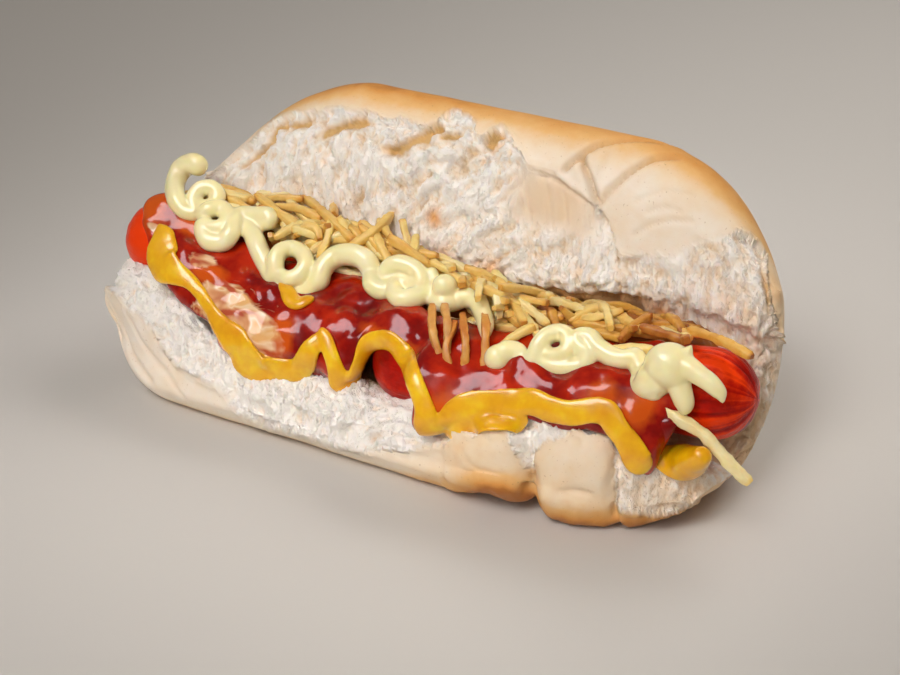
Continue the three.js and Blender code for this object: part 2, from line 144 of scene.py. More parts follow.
# Slots under the skin's upper edge, where it was pulled off the crumb, and folds in the skin above: a
# line of [x, below the crust edge], its width and its depth.
POCKETS = [
    ([(-66, 5.6), (-60, 6.6), (-55.7, 7.6)], 1.0, 2.2),
    ([(-46.5, 11.8), (-40, 9.4), (-34.8, 7)], 1.15, 3.0),
    ([(-22, 13.4), (-18, 11), (-15, 8.9), (-9.8, 4.4)], 1.2, 3.2),
    ([(-7.4, 6.4), (-3.7, 5)], 0.9, 2.4),
    ([(7.6, 5), (9.4, 1.4)], 1.1, 2.6),
    ([(1, 14), (3.4, 9)], 1.1, 1.2),
    ([(-66.6, 6.5), (-67.3, 10.1), (-70.6, 12.4), (-74.7, 13.6), (-77.8, 15)], 1.2, 1.7),
    ([(75, 14), (80, 12.2), (84, 12.6)], 0.8, 0.9),
    ([(94, -3), (96.5, 5), (97.6, 14), (97, 24)], 0.8, 1.6),
]
UPPER_FOLDS = [
    ([(56, -14), (51.9, -10), (47.7, -7.5), (43, -4), (39, -0.7), (35.7, 4.3), (33, 8)], 0.9, 4.6),
    ([(36.8, 4.5), (40.8, 9.3), (44.5, 15.2)], 0.95, 5.2),
    ([(18.5, 9), (21, 15), (25, 25)], 1.2, 1.6),
    ([(27, 11), (30, 18), (32, 26)], 1.0, 1.3),
    ([(45.6, 15.3), (48, 10.4), (50.8, 5.7), (56, -1.8), (61, -6)], 0.8, 3.2),
    ([(43, 8.7), (43, 1.1)], 0.8, 1.0),
    ([(59, 13.6), (63.3, 10), (68.7, 9)], 0.6, 0.9),
    ([(57, 20.7), (60.7, 16.5), (66.5, 12.5), (72, 9.5)], 0.8, 1.1),
    ([(55, 12), (62, 6), (70, 3)], 0.6, 0.5),
    ([(30, 10), (33.4, 15.2), (35.3, 22)], 1.6, 1.8),
    ([(22, 9.8), (27, 11), (37.5, 13.8), (46, 17.3)], 0.6, 1.5),
]
# Folds in the skin below, as [x, above the lower edge], and the soft lobes between them as
# [x, half width, height].
LOWER_FOLDS = [
    ([(-84.7, 7.8), (-80, 2), (-67, -2.2), (-61, -6)], 0.9, 1.3),
    ([(-75, 8.6), (-69, 3), (-64.8, 0.4), (-54.7, 2)], 0.8, 1.1),
    ([(-95, 14), (-95.8, 7.6), (-86.2, -4), (-73.6, -7.2)], 1.2, 2.2),
    ([(-38, -1), (-37.5, -6)], 0.8, 1.2),
    ([(-14, -4), (-12, -9)], 0.8, 0.9),
    ([(48, 16), (50.5, 9), (51.9, 3.8), (53, -1), (53, -8)], 2.6, 6.5),
    ([(73.5, 14), (75, 6), (76.5, -1), (76.5, -8)], 1.4, 2.6),
    ([(34, 6), (38, 2), (44, 1)], 0.9, 0.8),
    ([(60.7, -1.4), (64.6, 0.3), (69, 0.3)], 1.0, 1.3),
    ([(26, 9), (27.5, 2), (28.5, -6)], 1.0, 1.2),
]
LOBES = [(39, 13, 2.4), (63, 11, 2.2)]
# The lip over the slit, as [x, below the crust edge].
LIP = [
    (-98, 30), (-74, 33), (-59, 38), (-43, 40), (-22, 43), (8, 43), (20, 42), (32, 40), (46, 38), (60, 36),
    (75, 36), (100, 40),
]
FLAP_CENTRE, FLAP_SIZE = (31, 17.5), (13.5, 8.5)  # a peeled patch of inner skin, on the torn face


def ramp(start, end, x):
    return np.clip((x - start) / (end - start), 0, 1)


def smooth(start, end, x):
    t = ramp(start, end, x)
    return t * t * (3 - 2 * t)


def bell(x, centre, width):
    return np.exp(-(((x - centre) / width) ** 2))


def rounding(x, start, end, start_round, end_round, power):
    """How open a body with rounded ends is at x: 0 at either end and 1 between."""
    near = ramp(0, start_round, x - start), ramp(0, end_round, end - x)
    return np.prod([(1 - (1 - d) ** power) ** (1 / power) for d in near], axis=0)


def stations(start, end, start_round, end_round, power, size, count):
    """Places along a body with rounded ends, evenly spaced over its rounded outline."""
    fine = start + (end - start) * (1 - np.cos(np.linspace(0, np.pi, 6000))) / 2
    height = size * rounding(fine, start, end, start_round, end_round, power)
    run = np.concatenate([[0], np.cumsum(np.hypot(np.diff(fine), np.diff(height)))])
    return np.interp(np.linspace(0, run[-1], count + 1), run, fine)


SECTION, AT_LEFT, AT_RIGHT, AT_LOBES = np.array(
    [moves + [(0, 0)] * (4 - len(moves)) for moves in BUN_SECTION.values()], float
).transpose(1, 0, 2)
FINE_PER_POINT = 16


def bun_chains(x, shares):
    """The section at x as two chains from the lower edge to the crust edge, outside and inside: the
    points at these shares of each, how far along each is, and the chain's length."""
    points = SECTION + smooth(-40, -92, x) * AT_LEFT
    points = points + smooth(30, 90, x) * AT_RIGHT + bell(x, LOBE_CENTRE, LOBE_WIDTH) * AT_LOBES
    t = np.linspace(0, 1, FINE_PER_POINT, endpoint=False)[:, None, None]
    before, here, after, beyond = (np.roll(points, k, 0)[None] for k in (1, 0, -1, -2))
    curve = 0.5 * (
        2 * here
        + (after - before) * t
        + (2 * before - 5 * here + 4 * after - beyond) * t**2
        + (3 * here - before - 3 * after + beyond) * t**3
    )
    curve = curve.transpose(1, 0, 2).reshape(-1, 2)
    curve = np.vstack([curve, curve[:1]])
    cut = list(BUN_SECTION).index("crust_edge") * FINE_PER_POINT
    chains = []
    for chain in (curve[: cut + 1], curve[cut:][::-1]):
        run = np.concatenate([[0], np.cumsum(np.linalg.norm(np.diff(chain, axis=0), axis=1))])
        along = shares * run[-1]
        chains.append((np.stack([np.interp(along, run, c) for c in chain.T], 1), along, run[-1]))
    return chains


def drawn_in(x, y, z):
    """Towards the ends the upper half sinks, front and back draw in and the underside lifts."""
    sink = 0.6 * ramp(-38, -96, x) ** 1.7 + 0.5 * ramp(40, 100, x) ** 2.4
    back = 0.3 * ramp(55, 100, x) ** 2.2 + 0.3 * ramp(-55, -97, x) ** 2.2
    front = 0.42 * ramp(30, 100, x) ** 1.8 + 0.3 * ramp(-70, -97, x) ** 2
    lift = smooth(14, 0, z) * (6 * ramp(74, 100, x) ** 2 + 8 * ramp(-68, -97, x) ** 2)
    notch = sum(depth * bell(x, place, width) for place, width, depth in NOTCHES)
    lift = lift + 4 * left_corner(x, y, z) + notch * smooth(-18, -32, y) * smooth(16, 2, z)
    return y * (1 - np.where(y > 0, back, front)), np.where(z > 30, 30 + (z - 30) * (1 - sink), z) + lift


def left_corner(x, y, z):
    """How near a place is to the upper corner of the lower half's left end."""
    return ramp(-74, -96, x) * smooth(4, -14, y) * smooth(12, 26, z) * smooth(50, 40, z)


def end_bulge(x, y, z):
    low = np.maximum(0, (35 - z) / 35)
    high = np.maximum(0, (z - 40) / 20)
    right = ramp(60, 99, x) ** 2 * (10 * (y / 40) ** 2 + 9 * low**2 + 2 * high**2)
    left = ramp(-60, -97, x) ** 2 * (6 * ((y + 20) / 50) ** 2 + 5 * low**2 + 5 * high)
    return left - right - 5 * left_corner(x, y, z)


def away_from(x, s, line):
    """How far each place [x, s] is from a line of places."""
    best = np.full(x.shape, 1e9)
    for (ax, ay), (bx, by) in zip(line, line[1:]):
        length = (bx - ax) ** 2 + (by - ay) ** 2
        t = np.clip(((x - ax) * (bx - ax) + (s - ay) * (by - ay)) / length, 0, 1)
        best = np.minimum(best, np.hypot(x - ax - t * (bx - ax), s - ay - t * (by - ay)))
    return best


def noise_of(points, size, octaves=1, offset=0.0):
    """Soft noise of about -1 to 1, its lumps as large as size says along each axis."""
    places = points / np.asarray(size, float) + offset
    if octaves == 1:
        return np.array([noise.noise(p) for p in places.tolist()])
    return np.array([noise.fractal(p, 1.0, 2.0, octaves) for p in places.tolist()])


def billows(points, size, offset=0.0):
    """Rounded swellings with sharp creases between them, from 0 in a crease to about 1."""
    return np.minimum(1, 2.2 * np.abs(noise_of(points, size, 1, offset)))


def kept(mesh, key, values):
    """Keeps a value for every point of a mesh, for its material to read."""
    layer = mesh.attributes.new(key, "FLOAT", "POINT")
    layer.data.foreach_set("value", np.ravel(values).astype(np.float32))


def piece(name, points, faces, attributes=None):
    """A new object of smooth faces from points in millimetres, with a value per point for its material."""
    mesh = bpy.data.meshes.new(name)
    mesh.from_pydata((np.asarray(points) * MM).tolist(), [], np.asarray(faces).tolist())
    for key, values in (attributes or {}).items():
        kept(mesh, key, values)
    welded = bmesh.new()
    welded.from_mesh(mesh)
    bmesh.ops.remove_doubles(welded, verts=welded.verts, dist=1e-7)
    bmesh.ops.recalc_face_normals(welded, faces=welded.faces)
    welded.to_mesh(mesh)
    welded.free()
    mesh.shade_smooth()
    return new_object(name, mesh)


def ring_faces(rings, sides):
    """The four-sided faces between rings of points, each ring joined on itself."""
    i, j = np.meshgrid(np.arange(rings - 1), np.arange(sides), indexing="ij")
    a, b = i * sides + j, i * sides + (j + 1) % sides
    return np.stack([a, b, b + sides, a + sides], -1).reshape(-1, 4)


def values_of(made, key):
    data = made.data.attributes[key].data
    values = np.zeros(len(data), np.float32)
    data.foreach_get("value", values)
    return values.astype(float)


def vectors_of(made, key):
    """Every vertex's co or normal as an array, places in millimetres."""
    values = np.zeros(len(made.data.vertices) * 3, np.float32)
    made.data.vertices.foreach_get(key, values)
    return values.reshape(-1, 3).astype(float) / (MM if key == "co" else 1)


def placed(made, places):
    """Puts a mesh's vertices at these places in millimetres, none of them outside the hot dog's box."""
    low, high = (np.array(corner) for corner in cad_box)
    made.data.vertices.foreach_set("co", np.clip(places * MM, low, high).astype(np.float32).ravel())
    made.data.update()


def pushed(made, distance):
    """Moves each vertex along its normal by its distance in millimetres."""
    placed(made, vectors_of(made, "co") + vectors_of(made, "normal") * distance[:, None])


def bun_mesh():
    """The bun as one closed mesh, whose steps lie closest near the two torn edges."""
    fine = np.linspace(0, 1, 2001)
    weights = np.interp(fine, [0, 0.16, 0.22, 0.6, 0.66, 1], [1.7, 1.7, 0.7, 0.7, 1.5, 1.5])
    filled = np.concatenate([[0], np.cumsum(weights[1:])])
    shares = np.interp(np.linspace(0, filled[-1], CHAIN_STEPS + 1), filled, fine)
    rings, places = [], []
    for x in stations(*BUN_ENDS, BUN_SIZE, BUN_STATIONS):
        opening = rounding(x, *BUN_ENDS)
        (skin, out_run, out_length), (crumb, in_run, in_length) = bun_chains(x, shares)
        skin = np.stack(drawn_in(x, *skin.T), 1)
        crumb = np.stack(drawn_in(x, *crumb.T), 1)
        middle = (skin + crumb) / 2
        skin, crumb = middle + (skin - middle) * opening, middle + (crumb - middle) * opening
        y, z = np.vstack([skin, crumb[-2:0:-1]]).T
        rings.append(np.stack([x + end_bulge(x, y, z), y, np.maximum(0, z)], 1))
        above_out, above_in = out_run - out_length, in_length - in_run
        places.append(
            {
                "station": np.full(len(y), x),
                "below_crust": np.concatenate([above_out, above_in[-2:0:-1]]),
                "above_edge": np.concatenate([-out_run, in_run[-2:0:-1]]),
                "inner": np.concatenate([np.zeros(len(skin)), np.ones(len(crumb) - 2)]),
                "opening": np.full(len(y), opening),
            }
        )
    rings = np.array(rings)
    marks = {key: np.concatenate([ring[key] for ring in places]) for key in places[0]}
    return piece("bread", rings.reshape(-1, 3), ring_faces(len(rings), rings.shape[1]), marks)


bread = bun_mesh()
PLACES = ("station", "below_crust", "above_edge", "inner", "opening")
station, below_crust, above_edge, inner, opening = (values_of(bread, key) for key in PLACES)
at = vectors_of(bread, "co")

# Where it is torn: millimetres from the nearest skin edge, positive inside the torn region, with a
# ragged course that wanders more on the lobes.
top = np.interp(station, *zip(*SKIN_EDGE_ABOVE))
bottom = np.interp(station, *zip(*SKIN_EDGE_BELOW))
inside = inner > 0.5
from_edge = np.where(
    inside,
    np.minimum(above_edge - bottom, below_crust - top),
    np.maximum(above_edge - bottom, below_crust - top),
)
upper_zone = np.where(inside, above_edge > 40, below_crust > -40)
lower_zone = np.where(inside, below_crust > 60, above_edge > -40)
lobes_on = lower_zone * smooth(10, 36, station)
raggedness = noise_of(at, 6, 3)
from_edge = from_edge + 1.5 * raggedness + 0.5 * noise_of(at, 1.5)
from_edge += lobes_on * (1.2 * raggedness + 4.2 * noise_of(at, 14, 1, 9.1))
# Right of the peeled patch the skin thins out towards the crumb, without a rim.
worn = 1 + 6 * smooth(52, 64, station) * smooth(88, 78, station) * upper_zone
torn = smooth(-0.3 * worn, 0.4 * worn, from_edge)
flap = np.exp(
    -(((station - FLAP_CENTRE[0]) / FLAP_SIZE[0]) ** 4)
    - (((below_crust - FLAP_CENTRE[1]) / FLAP_SIZE[1]) ** 4)
) * inner

# Relief: soft lumps, tears that lean as the halves were pulled apart, and fibres and fluff on both, all
# of it lower at the right end of either half. The edge has a rim, and the crumb lies below the skin.
lean = 0.15 + 0.75 * bell(at[:, 0], 4, 22)
leaning = np.stack([at[:, 0] - lean * (at[:, 2] - 60), at[:, 1], at[:, 2]], 1)
lumps = noise_of(leaning, (16, 13, 20), 2, 3.1)
tears = 1 - 2.4 * np.abs(noise_of(leaning, (6.5, 6.5, 17), 2, 7.7))
fibres = noise_of(leaning, (1.7, 1.7, 8), 3, 1.3)
fluff = noise_of(at, 1.5, 3, 4.2)
relief = 2.2 * lumps - 0.9 * tears + 1.1 * fibres + 0.45 * fluff
low_end = lower_zone * smooth(71, 77, station)
far_end = upper_zone * smooth(62, 92, station)
height = torn * relief * (1 - 0.85 * flap) * (1 - 0.5 * low_end) * (1 - 0.5 * far_end)
height += (0.7 * bell(from_edge, -0.7, 1.0) - 0.9 * smooth(-0.2, 1.2, from_edge)) / worn
pocket = np.zeros(len(at))
wander = 1.3 * noise_of(at, 4, 2, 6.6)
for line, width, depth in POCKETS:
    away = away_from(station, below_crust, line) + wander
    pocket += upper_zone * inner * depth * bell(away, 0, 1.35 * width)
height -= 0.75 * pocket
# Painted shade along the skin's folds, kept for its colour.
fold_shade = np.zeros(len(at))
for places, zone, folds in ((below_crust, upper_zone, UPPER_FOLDS), (above_edge, lower_zone, LOWER_FOLDS)):
    for line, width, depth in folds:
        away = away_from(station, places, line)
        height -= zone * depth * (np.exp(-away / width) - 0.35 * bell(away, 0, 3 * width))
        fold_shade += zone * min(0.7, depth / 6) * np.exp(-away / (0.6 * width))
for centre, width, depth in LOBES:
    dome = np.maximum(0, 1 - ((station - centre) / width) ** 2) ** 0.8
    height += lower_zone * depth * dome * smooth(-20, -6, above_edge) * smooth(22, 10, above_edge)

# The lip over the slit: white tufts hang over it, and what lies under it is drawn back and given painted
# shade.
lip = np.interp(station, *zip(*LIP))
past_lip = (below_crust - lip) * upper_zone * inner
gap = upper_zone * inner * smooth(70, 56, station)
height += gap * bell(past_lip, -1, 3.0) * (0.8 + 2.4 * (billows(at, (4, 4, 3), 2.2) - 0.3))
under = gap * smooth(1.2, 3.6, past_lip + 2.2 * noise_of(at, 3.5, 2))
height -= 1.7 * under * (1 + 0.6 * fibres + 0.4 * fluff)

# The right end's ragged crumb, and the skin's dents, which are deeper on the lobes.
ragged = upper_zone * inner * smooth(88, 95, station) * smooth(16, 28, below_crust)
height += 1.9 * ragged * (billows(at, 3.4, 5.5) - 0.3)
height += (1 - torn) * (0.45 * noise_of(at, 24, 1, 4.4) + 0.12 * noise_of(at, (8, 8, 4), 1, 6.1))
height += (1 - torn) * lobes_on * 0.65 * noise_of(at, (5, 6, 9), 2, 12.3)
height *= smooth(0, 0.35, opening) * smooth(0, 3, at[:, 2] + 1.2)
pushed(bread, height)
at = vectors_of(bread, "co")

# Colour: how toasted the skin is, plus painted shade under and beside the front lobes and along their
# bottoms; painted shade by how deep a place lies in the crumb's creases; and sauce stains.
# Painted shade under the left lobe, next to the table, and in bands beside both lobes, both added to the
# toast.
under_lobe_shade = bell(station, 45, 9) * smooth(17, 8, at[:, 2])
beside_lobe_shade = bell(station, 55, 3.2) + bell(station, 73, 3)
toast_and_shade = np.maximum.reduce(
    [
        smooth(14, 31, at[:, 1]) * smooth(38, 62, at[:, 2]) * (0.54 + 0.12 * smooth(20, -50, station)),
        smooth(30, 48, at[:, 1]) * 0.62,
        # The underside's edge: partly toast, partly painted shade next to the table.
        smooth(4 + 9 * smooth(0, 50, station), 0, at[:, 2]) * (0.3 + 0.45 * smooth(0, 50, station)),
        # The lobes: a little toast, with painted shade towards the table, under the left lobe and beside both
        # lobes.
        lobes_on * (0.11 + 0.33 * smooth(11, 3, at[:, 2]) + 0.65 * under_lobe_shade),
        lobes_on * 0.14 * beside_lobe_shade,
        smooth(90, 99, station) * 0.2,
    ]
)
STAINS = [((-6, 30), 2.6), ((66, 43), 4), ((-60, 38), 4), ((-2, 44), 5), ((14, 44), 5)]
stained = sum(bell(station, x, r) * bell(below_crust, s, r) for (x, s), r in STAINS)
# Painted shade in the crumb: darker in the relief's creases and at the right ends of both halves, and painted
# lighter on the lower half's front.
lit_front = lower_zone * smooth(71, 60, station)
crease_shade = 0.1 + (0.4 * tears - 0.4 * fibres - 0.3 * fluff) * (1 - 0.5 * np.maximum(low_end, far_end))
crease_shade += 0.38 * low_end + 0.32 * far_end - 0.2 * lit_front
crease_shade = torn * crease_shade * (1 - 0.6 * flap)
flakes_hold = np.where(lower_zone, 1, np.maximum(ragged, smooth(12, 3, past_lip)))
# Painted shade in the slit and under the lip.
slit = inner * smooth(60, 70, below_crust) * smooth(18, 26, above_edge)
for key, values in {
    "torn": torn,
    "toast_and_shade": toast_and_shade,
    "crease_shade": np.clip(crease_shade, 0, 1),
    "stained": np.clip(stained, 0, 1) * inner,
    # Painted shade in the slots under the skin's edge.
    "pocket": np.clip(pocket / 1.8, 0, 1),
    "fold_shade": np.clip(fold_shade, 0, 1),
    "grainy": torn * (1 - 0.9 * flap),
    "peeled": flap,
    "porous": 0.8 * lower_zone * smooth(70, 76, station) * smooth(16, 6, at[:, 2]),
    "flaky": torn * (1 - flap) * (1 - 0.8 * np.clip(pocket, 0, 1)) * flakes_hold,
    "slit_and_lip_shade": np.maximum(under, slit) * smooth(74, 60, station) * smooth(-84, -52, station),
}.items():
    kept(bread.data, key, values)
for key in PLACES:
    bread.data.attributes.remove(bread.data.attributes[key])


def finish_named(name, **sockets):
    """A new material, its node tree and its shader, with the sockets that are the same all over set."""
    made = bpy.data.materials.new(name)
    made.use_nodes = True
    shader = made.node_tree.nodes["Principled BSDF"]
    for key, value in sockets.items():
        shader.inputs[key.replace("_", " ")].default_value = value
    return made, made.node_tree, shader


def node(tree, kind, settings=None, inputs=None):
    """A node with its settings and its inputs, by name or number, set to a value or linked to a socket."""
    made = tree.nodes.new(kind)
    for key, value in (settings or {}).items():
        setattr(made, key, value)
    for key, value in (inputs or {}).items():
        if isinstance(value, bpy.types.NodeSocket):
            tree.links.new(value, made.inputs[key])
        else:
            made.inputs[key].default_value = value
    return made


def colours_over(tree, value, stops):
    """Colours along a value from 0 to 1."""
    made = node(tree, "ShaderNodeValToRGB", inputs={0: value})
    band = made.color_ramp
    while len(band.elements) < len(stops):
        band.elements.new(0.5)
    for element, (place, colour) in zip(band.elements, stops):
        element.position = place
        element.color = (*colour, 1)
    return made.outputs[0]


def past(tree, value, start, end, most=1.0):
    """Black below start, and brighter up to most where the value comes to end."""
    return colours_over(tree, value, [(start, (0, 0, 0)), (end, (most, most, most))])


def mixed(tree, share, low, high):
    made = node(tree, "ShaderNodeMix", {"data_type": "RGBA"}, {0: share, 6: low, 7: high})
    return made.outputs[2]


def sum_of(tree, a, b, scale=1.0):
    """a + b times scale, kept from 0 to 1."""
    settings = {"operation": "MULTIPLY_ADD", "use_clamp": True}
    return node(tree, "ShaderNodeMath", settings, {0: b, 1: scale, 2: a}).outputs[0]


def times(tree, a, b):
    return node(tree, "ShaderNodeMath", {"operation": "MULTIPLY"}, {0: a, 1: b}).outputs[0]


def bumps(tree, shader, strength, depth, height, over=None):
    """Gives a shader bumps as high as depth millimetres, on top of others if there are any."""
    inputs = {"Strength": strength, "Distance": depth * MM, "Height": height}
    if over:
        inputs["Normal"] = over
    made = node(tree, "ShaderNodeBump", inputs=inputs)
    tree.links.new(made.outputs[0], shader.inputs["Normal"])
    return made.outputs[0]


def speckle(tree, size, detail=2.0, stretch=None, distortion=0.0):
    """Noise whose lumps are about size millimetres across, from 0 to 1."""
    place = node(tree, "ShaderNodeTexCoord").outputs["Object"]
    if stretch:
        place = node(tree, "ShaderNodeMapping", inputs={"Vector": place, "Scale": stretch}).outputs[0]
    settings = {"Vector": place, "Scale": 1 / (size * MM), "Detail": detail, "Roughness": 0.6}
    settings["Distortion"] = distortion
    return node(tree, "ShaderNodeTexNoise", inputs=settings).outputs[0]


def attribute(tree, key):
    return node(tree, "ShaderNodeAttribute", {"attribute_name": key}).outputs["Fac"]


bread_finish, tree, shader = finish_named(
    "bread",
    Subsurface_Weight=0.2,
    Subsurface_Radius=(1.0, 0.7, 0.45),
    Subsurface_Scale=0.0008,
    IOR=1.4,
)
# The skin's toast together with its painted shade, made patchy.
patchy_toast_and_shade = sum_of(tree, attribute(tree, "toast_and_shade"), speckle(tree, 30, 3), 0.3)
patchy_toast_and_shade = sum_of(tree, patchy_toast_and_shade, speckle(tree, 6, 5), 0.26)
skin_colour = colours_over(
    tree,
    patchy_toast_and_shade,
    [
        (0.20, (0.87, 0.79, 0.69)),
        (0.42, (0.83, 0.66, 0.46)),
        (0.64, (0.78, 0.47, 0.19)),
        (0.86, (0.68, 0.31, 0.075)),
        (1.0, (0.44, 0.16, 0.03)),
    ],
)
# Painted shade along the skin's folds.
skin_colour = mixed(tree, attribute(tree, "fold_shade"), skin_colour, (0.56, 0.36, 0.18, 1))
freckles = past(tree, speckle(tree, 0.8, 1), 0.70, 0.78, 0.45)
skin_colour = mixed(tree, freckles, skin_colour, (0.42, 0.24, 0.10, 1))
# The crumb's colour follows its painted crease shade, with random tone on top.
crumb_shade_and_tone = sum_of(tree, attribute(tree, "crease_shade"), speckle(tree, 1.3, 4), 0.3)
crumb_colour = colours_over(
    tree,
    crumb_shade_and_tone,
    [
        (0.32, (0.975, 0.925, 0.865)),
        (0.54, (0.95, 0.86, 0.765)),
        (0.76, (0.90, 0.75, 0.59)),
        (1.0, (0.77, 0.56, 0.35)),
    ],
)
crumb_colour = mixed(tree, attribute(tree, "peeled"), crumb_colour, (0.77, 0.60, 0.42, 1))
pores = past(tree, speckle(tree, 2.2, 3), 0.60, 0.68)
crumb_colour = mixed(tree, times(tree, pores, attribute(tree, "porous")), crumb_colour, (0.50, 0.30, 0.15, 1))
for key, colour in {
    "stained": (0.85, 0.42, 0.14, 1),
    # Painted shade in the slots under the skin's edge.
    "pocket": (0.72, 0.46, 0.19, 1),
    # Painted shade under the lip and in the slit.
    "slit_and_lip_shade": (0.68, 0.41, 0.19, 1),
}.items():
    crumb_colour = mixed(tree, attribute(tree, key), crumb_colour, colour)
bread_colour = mixed(tree, attribute(tree, "torn"), skin_colour, crumb_colour)
tree.links.new(bread_colour, shader.inputs["Base Color"])
roughness = node(tree, "ShaderNodeMapRange", inputs={0: attribute(tree, "torn"), 3: 0.45, 4: 0.92})
tree.links.new(roughness.outputs[0], shader.inputs["Roughness"])
crumb_grain = sum_of(tree, speckle(tree, 0.5, 4, (1, 1, 0.4)), speckle(tree, 1.5, 4, (1, 1, 0.3)), 1.0)
grained = bumps(tree, shader, 1.0, 1.0, times(tree, crumb_grain, attribute(tree, "grainy")))
bumps(tree, shader, 0.25, 0.25, speckle(tree, 2.4, 3, (1, 1, 2)), grained)
bread.data.materials.append(bread_finish)

# Flakes of crumb that stand off the torn faces, most of them small, flat and turned every way.
FLAKE_SIZE = 0.8
FLAKES_PER_SQUARE_MM = 0.3
FLAKE_SEED = 5


def empty_tree(name, numbers):
    """A Geometry Nodes tree that takes a carrier, these numbers and a seed: the tree, and what it's given."""
    tree = bpy.data.node_groups.new(name, "GeometryNodeTree")
    for key, kind in (("Carrier", "Geometry"), *((key, "Float") for key in numbers), ("Seed", "Int")):
        tree.interface.new_socket(key, in_out="INPUT", socket_type="NodeSocket" + kind)
    tree.interface.new_socket("Grown", in_out="OUTPUT", socket_type="NodeSocketGeometry")
    return tree, tree.nodes.new("NodeGroupInput").outputs


def ended(tree, last, material):
    """Ends a tree: what its last node gives becomes real and gets its material."""
    real = node(tree, "GeometryNodeRealizeInstances", inputs={"Geometry": last.outputs[0]})
    coated = node(tree, "GeometryNodeSetMaterial", inputs={"Geometry": real.outputs[0], "Material": material})
    node(tree, "NodeGroupOutput", inputs={0: coated.outputs[0]})
    return tree


def scaled(tree, vector, scale):
    inputs = {0: vector, "Scale": scale}
    return node(tree, "ShaderNodeVectorMath", {"operation": "SCALE"}, inputs).outputs[0]


def random_vector(tree, low, high, seed):
    inputs = {"Min": low, "Max": high, "Seed": seed}
    return node(tree, "FunctionNodeRandomValue", {"data_type": "FLOAT_VECTOR"}, inputs).outputs[0]


def flake_tree(material):
    """Geometry Nodes that strew flakes over a mesh as thickly as its flaky attribute says."""
    tree, given = empty_tree("flakes", ("Size", "Density"))
    where = node(tree, "GeometryNodeInputNamedAttribute", {"data_type": "FLOAT"}, {"Name": "flaky"})
    thick = times(tree, where.outputs["Attribute"], given["Density"])
    spots = node(
        tree,
        "GeometryNodeDistributePointsOnFaces",
        inputs={"Mesh": given["Carrier"], "Density": thick, "Seed": given["Seed"]},
    )
    turned = random_vector(tree, (-0.4, -0.4, -3.1), (0.4, 0.4, 3.1), 1)
    facing = node(
        tree,
        "FunctionNodeRotateRotation",
        {"rotation_space": "LOCAL"},
        {"Rotation": spots.outputs["Rotation"], "Rotate By": turned},
    )
    ball = node(tree, "GeometryNodeMeshIcoSphere", inputs={"Radius": 0.5, "Subdivisions": 1})
    strewn = node(
        tree,
        "GeometryNodeInstanceOnPoints",
        inputs={
            "Points": spots.outputs["Points"],
            "Instance": ball.outputs[0],
            "Rotation": facing.outputs[0],
            "Scale": scaled(tree, random_vector(tree, (0.4, 0.3, 0.2), (1.3, 0.9, 0.7), 2), given["Size"]),
        },
    )
    return ended(tree, strewn, material)


def plain_mesh(made):
    """The smooth mesh that an object's modifiers make of it."""
    depsgraph = bpy.context.evaluated_depsgraph_get()
    mesh = bpy.data.meshes.new_from_object(made.evaluated_get(depsgraph))
    mesh.shade_smooth()
    return mesh


def grown(name, carrier, tree, **sizes):
    """A new piece, the plain mesh that a Geometry Nodes tree makes of a mesh or of curves."""
    holder = new_object(name + "_holder", carrier)
    growth = holder.modifiers.new("growth", "NODES")
    growth.node_group = tree
    for item in tree.interface.items_tree:
        if item.name in sizes:
            growth[item.identifier] = sizes[item.name]
    mesh = plain_mesh(holder)
    bpy.data.objects.remove(holder)
    return new_object(name, mesh)


flakes = grown(
    "crumb_flakes",
    bread.data,
    flake_tree(bread_finish),
    Size=FLAKE_SIZE * MM,
    Density=FLAKES_PER_SQUARE_MM / MM**2,
    Seed=FLAKE_SEED,
)
flakes.data.shade_flat()
for made in (bread, flakes):
    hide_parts("bun")
    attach(made, "root")

# ------------------------------------------------------------------ sausages
# Two smoked sausages in natural casing, laid end to end with their tips passing. The right one ends
# in a drawn pucker, where its casing was tied.
SAUSAGE_RADIUS = 11.7
LEFT_SAUSAGE = [(-102.5, -7, 40.5), (-80, -7, 34), (-45, -5, 28), (-12, 2.5, 27), (14, 7, 27)]
RIGHT_SAUSAGE = [(-7, -18.5, 25), (15, -15.5, 26), (45, -10, 28), (74, -6, 32), (101, -5.5, 35.5)]
SAUSAGE_STATIONS, SAUSAGE_SIDES = 190, 120


def line_through(places, per_span=24):
    """A curve through places that doesn't loop at close ones, as points close together."""
    p = np.array(places, float)
    p = np.vstack([2 * p[0] - p[1], p, 2 * p[-1] - p[-2]])
    t = np.linspace(0, 1, per_span, endpoint=False)[:, None]
    spans = []
    for a, b, c, d in zip(p, p[1:], p[2:], p[3:]):
        ab, bc, cd = (np.linalg.norm(v) ** 0.5 for v in (b - a, c - b, d - c))
        out = ((b - a) / ab - (c - a) / (ab + bc) + (c - b) / bc) * bc
        into = ((c - b) / bc - (d - b) / (bc + cd) + (d - c) / cd) * bc
        spans.append(b + out * t + (3 * (c - b) - 2 * out - into) * t**2 + (2 * (b - c) + out + into) * t**3)
    return np.vstack([*spans, p[-2]])


def length_along(line):
    return np.concatenate([[0], np.cumsum(np.linalg.norm(np.diff(line, axis=0), axis=1))])


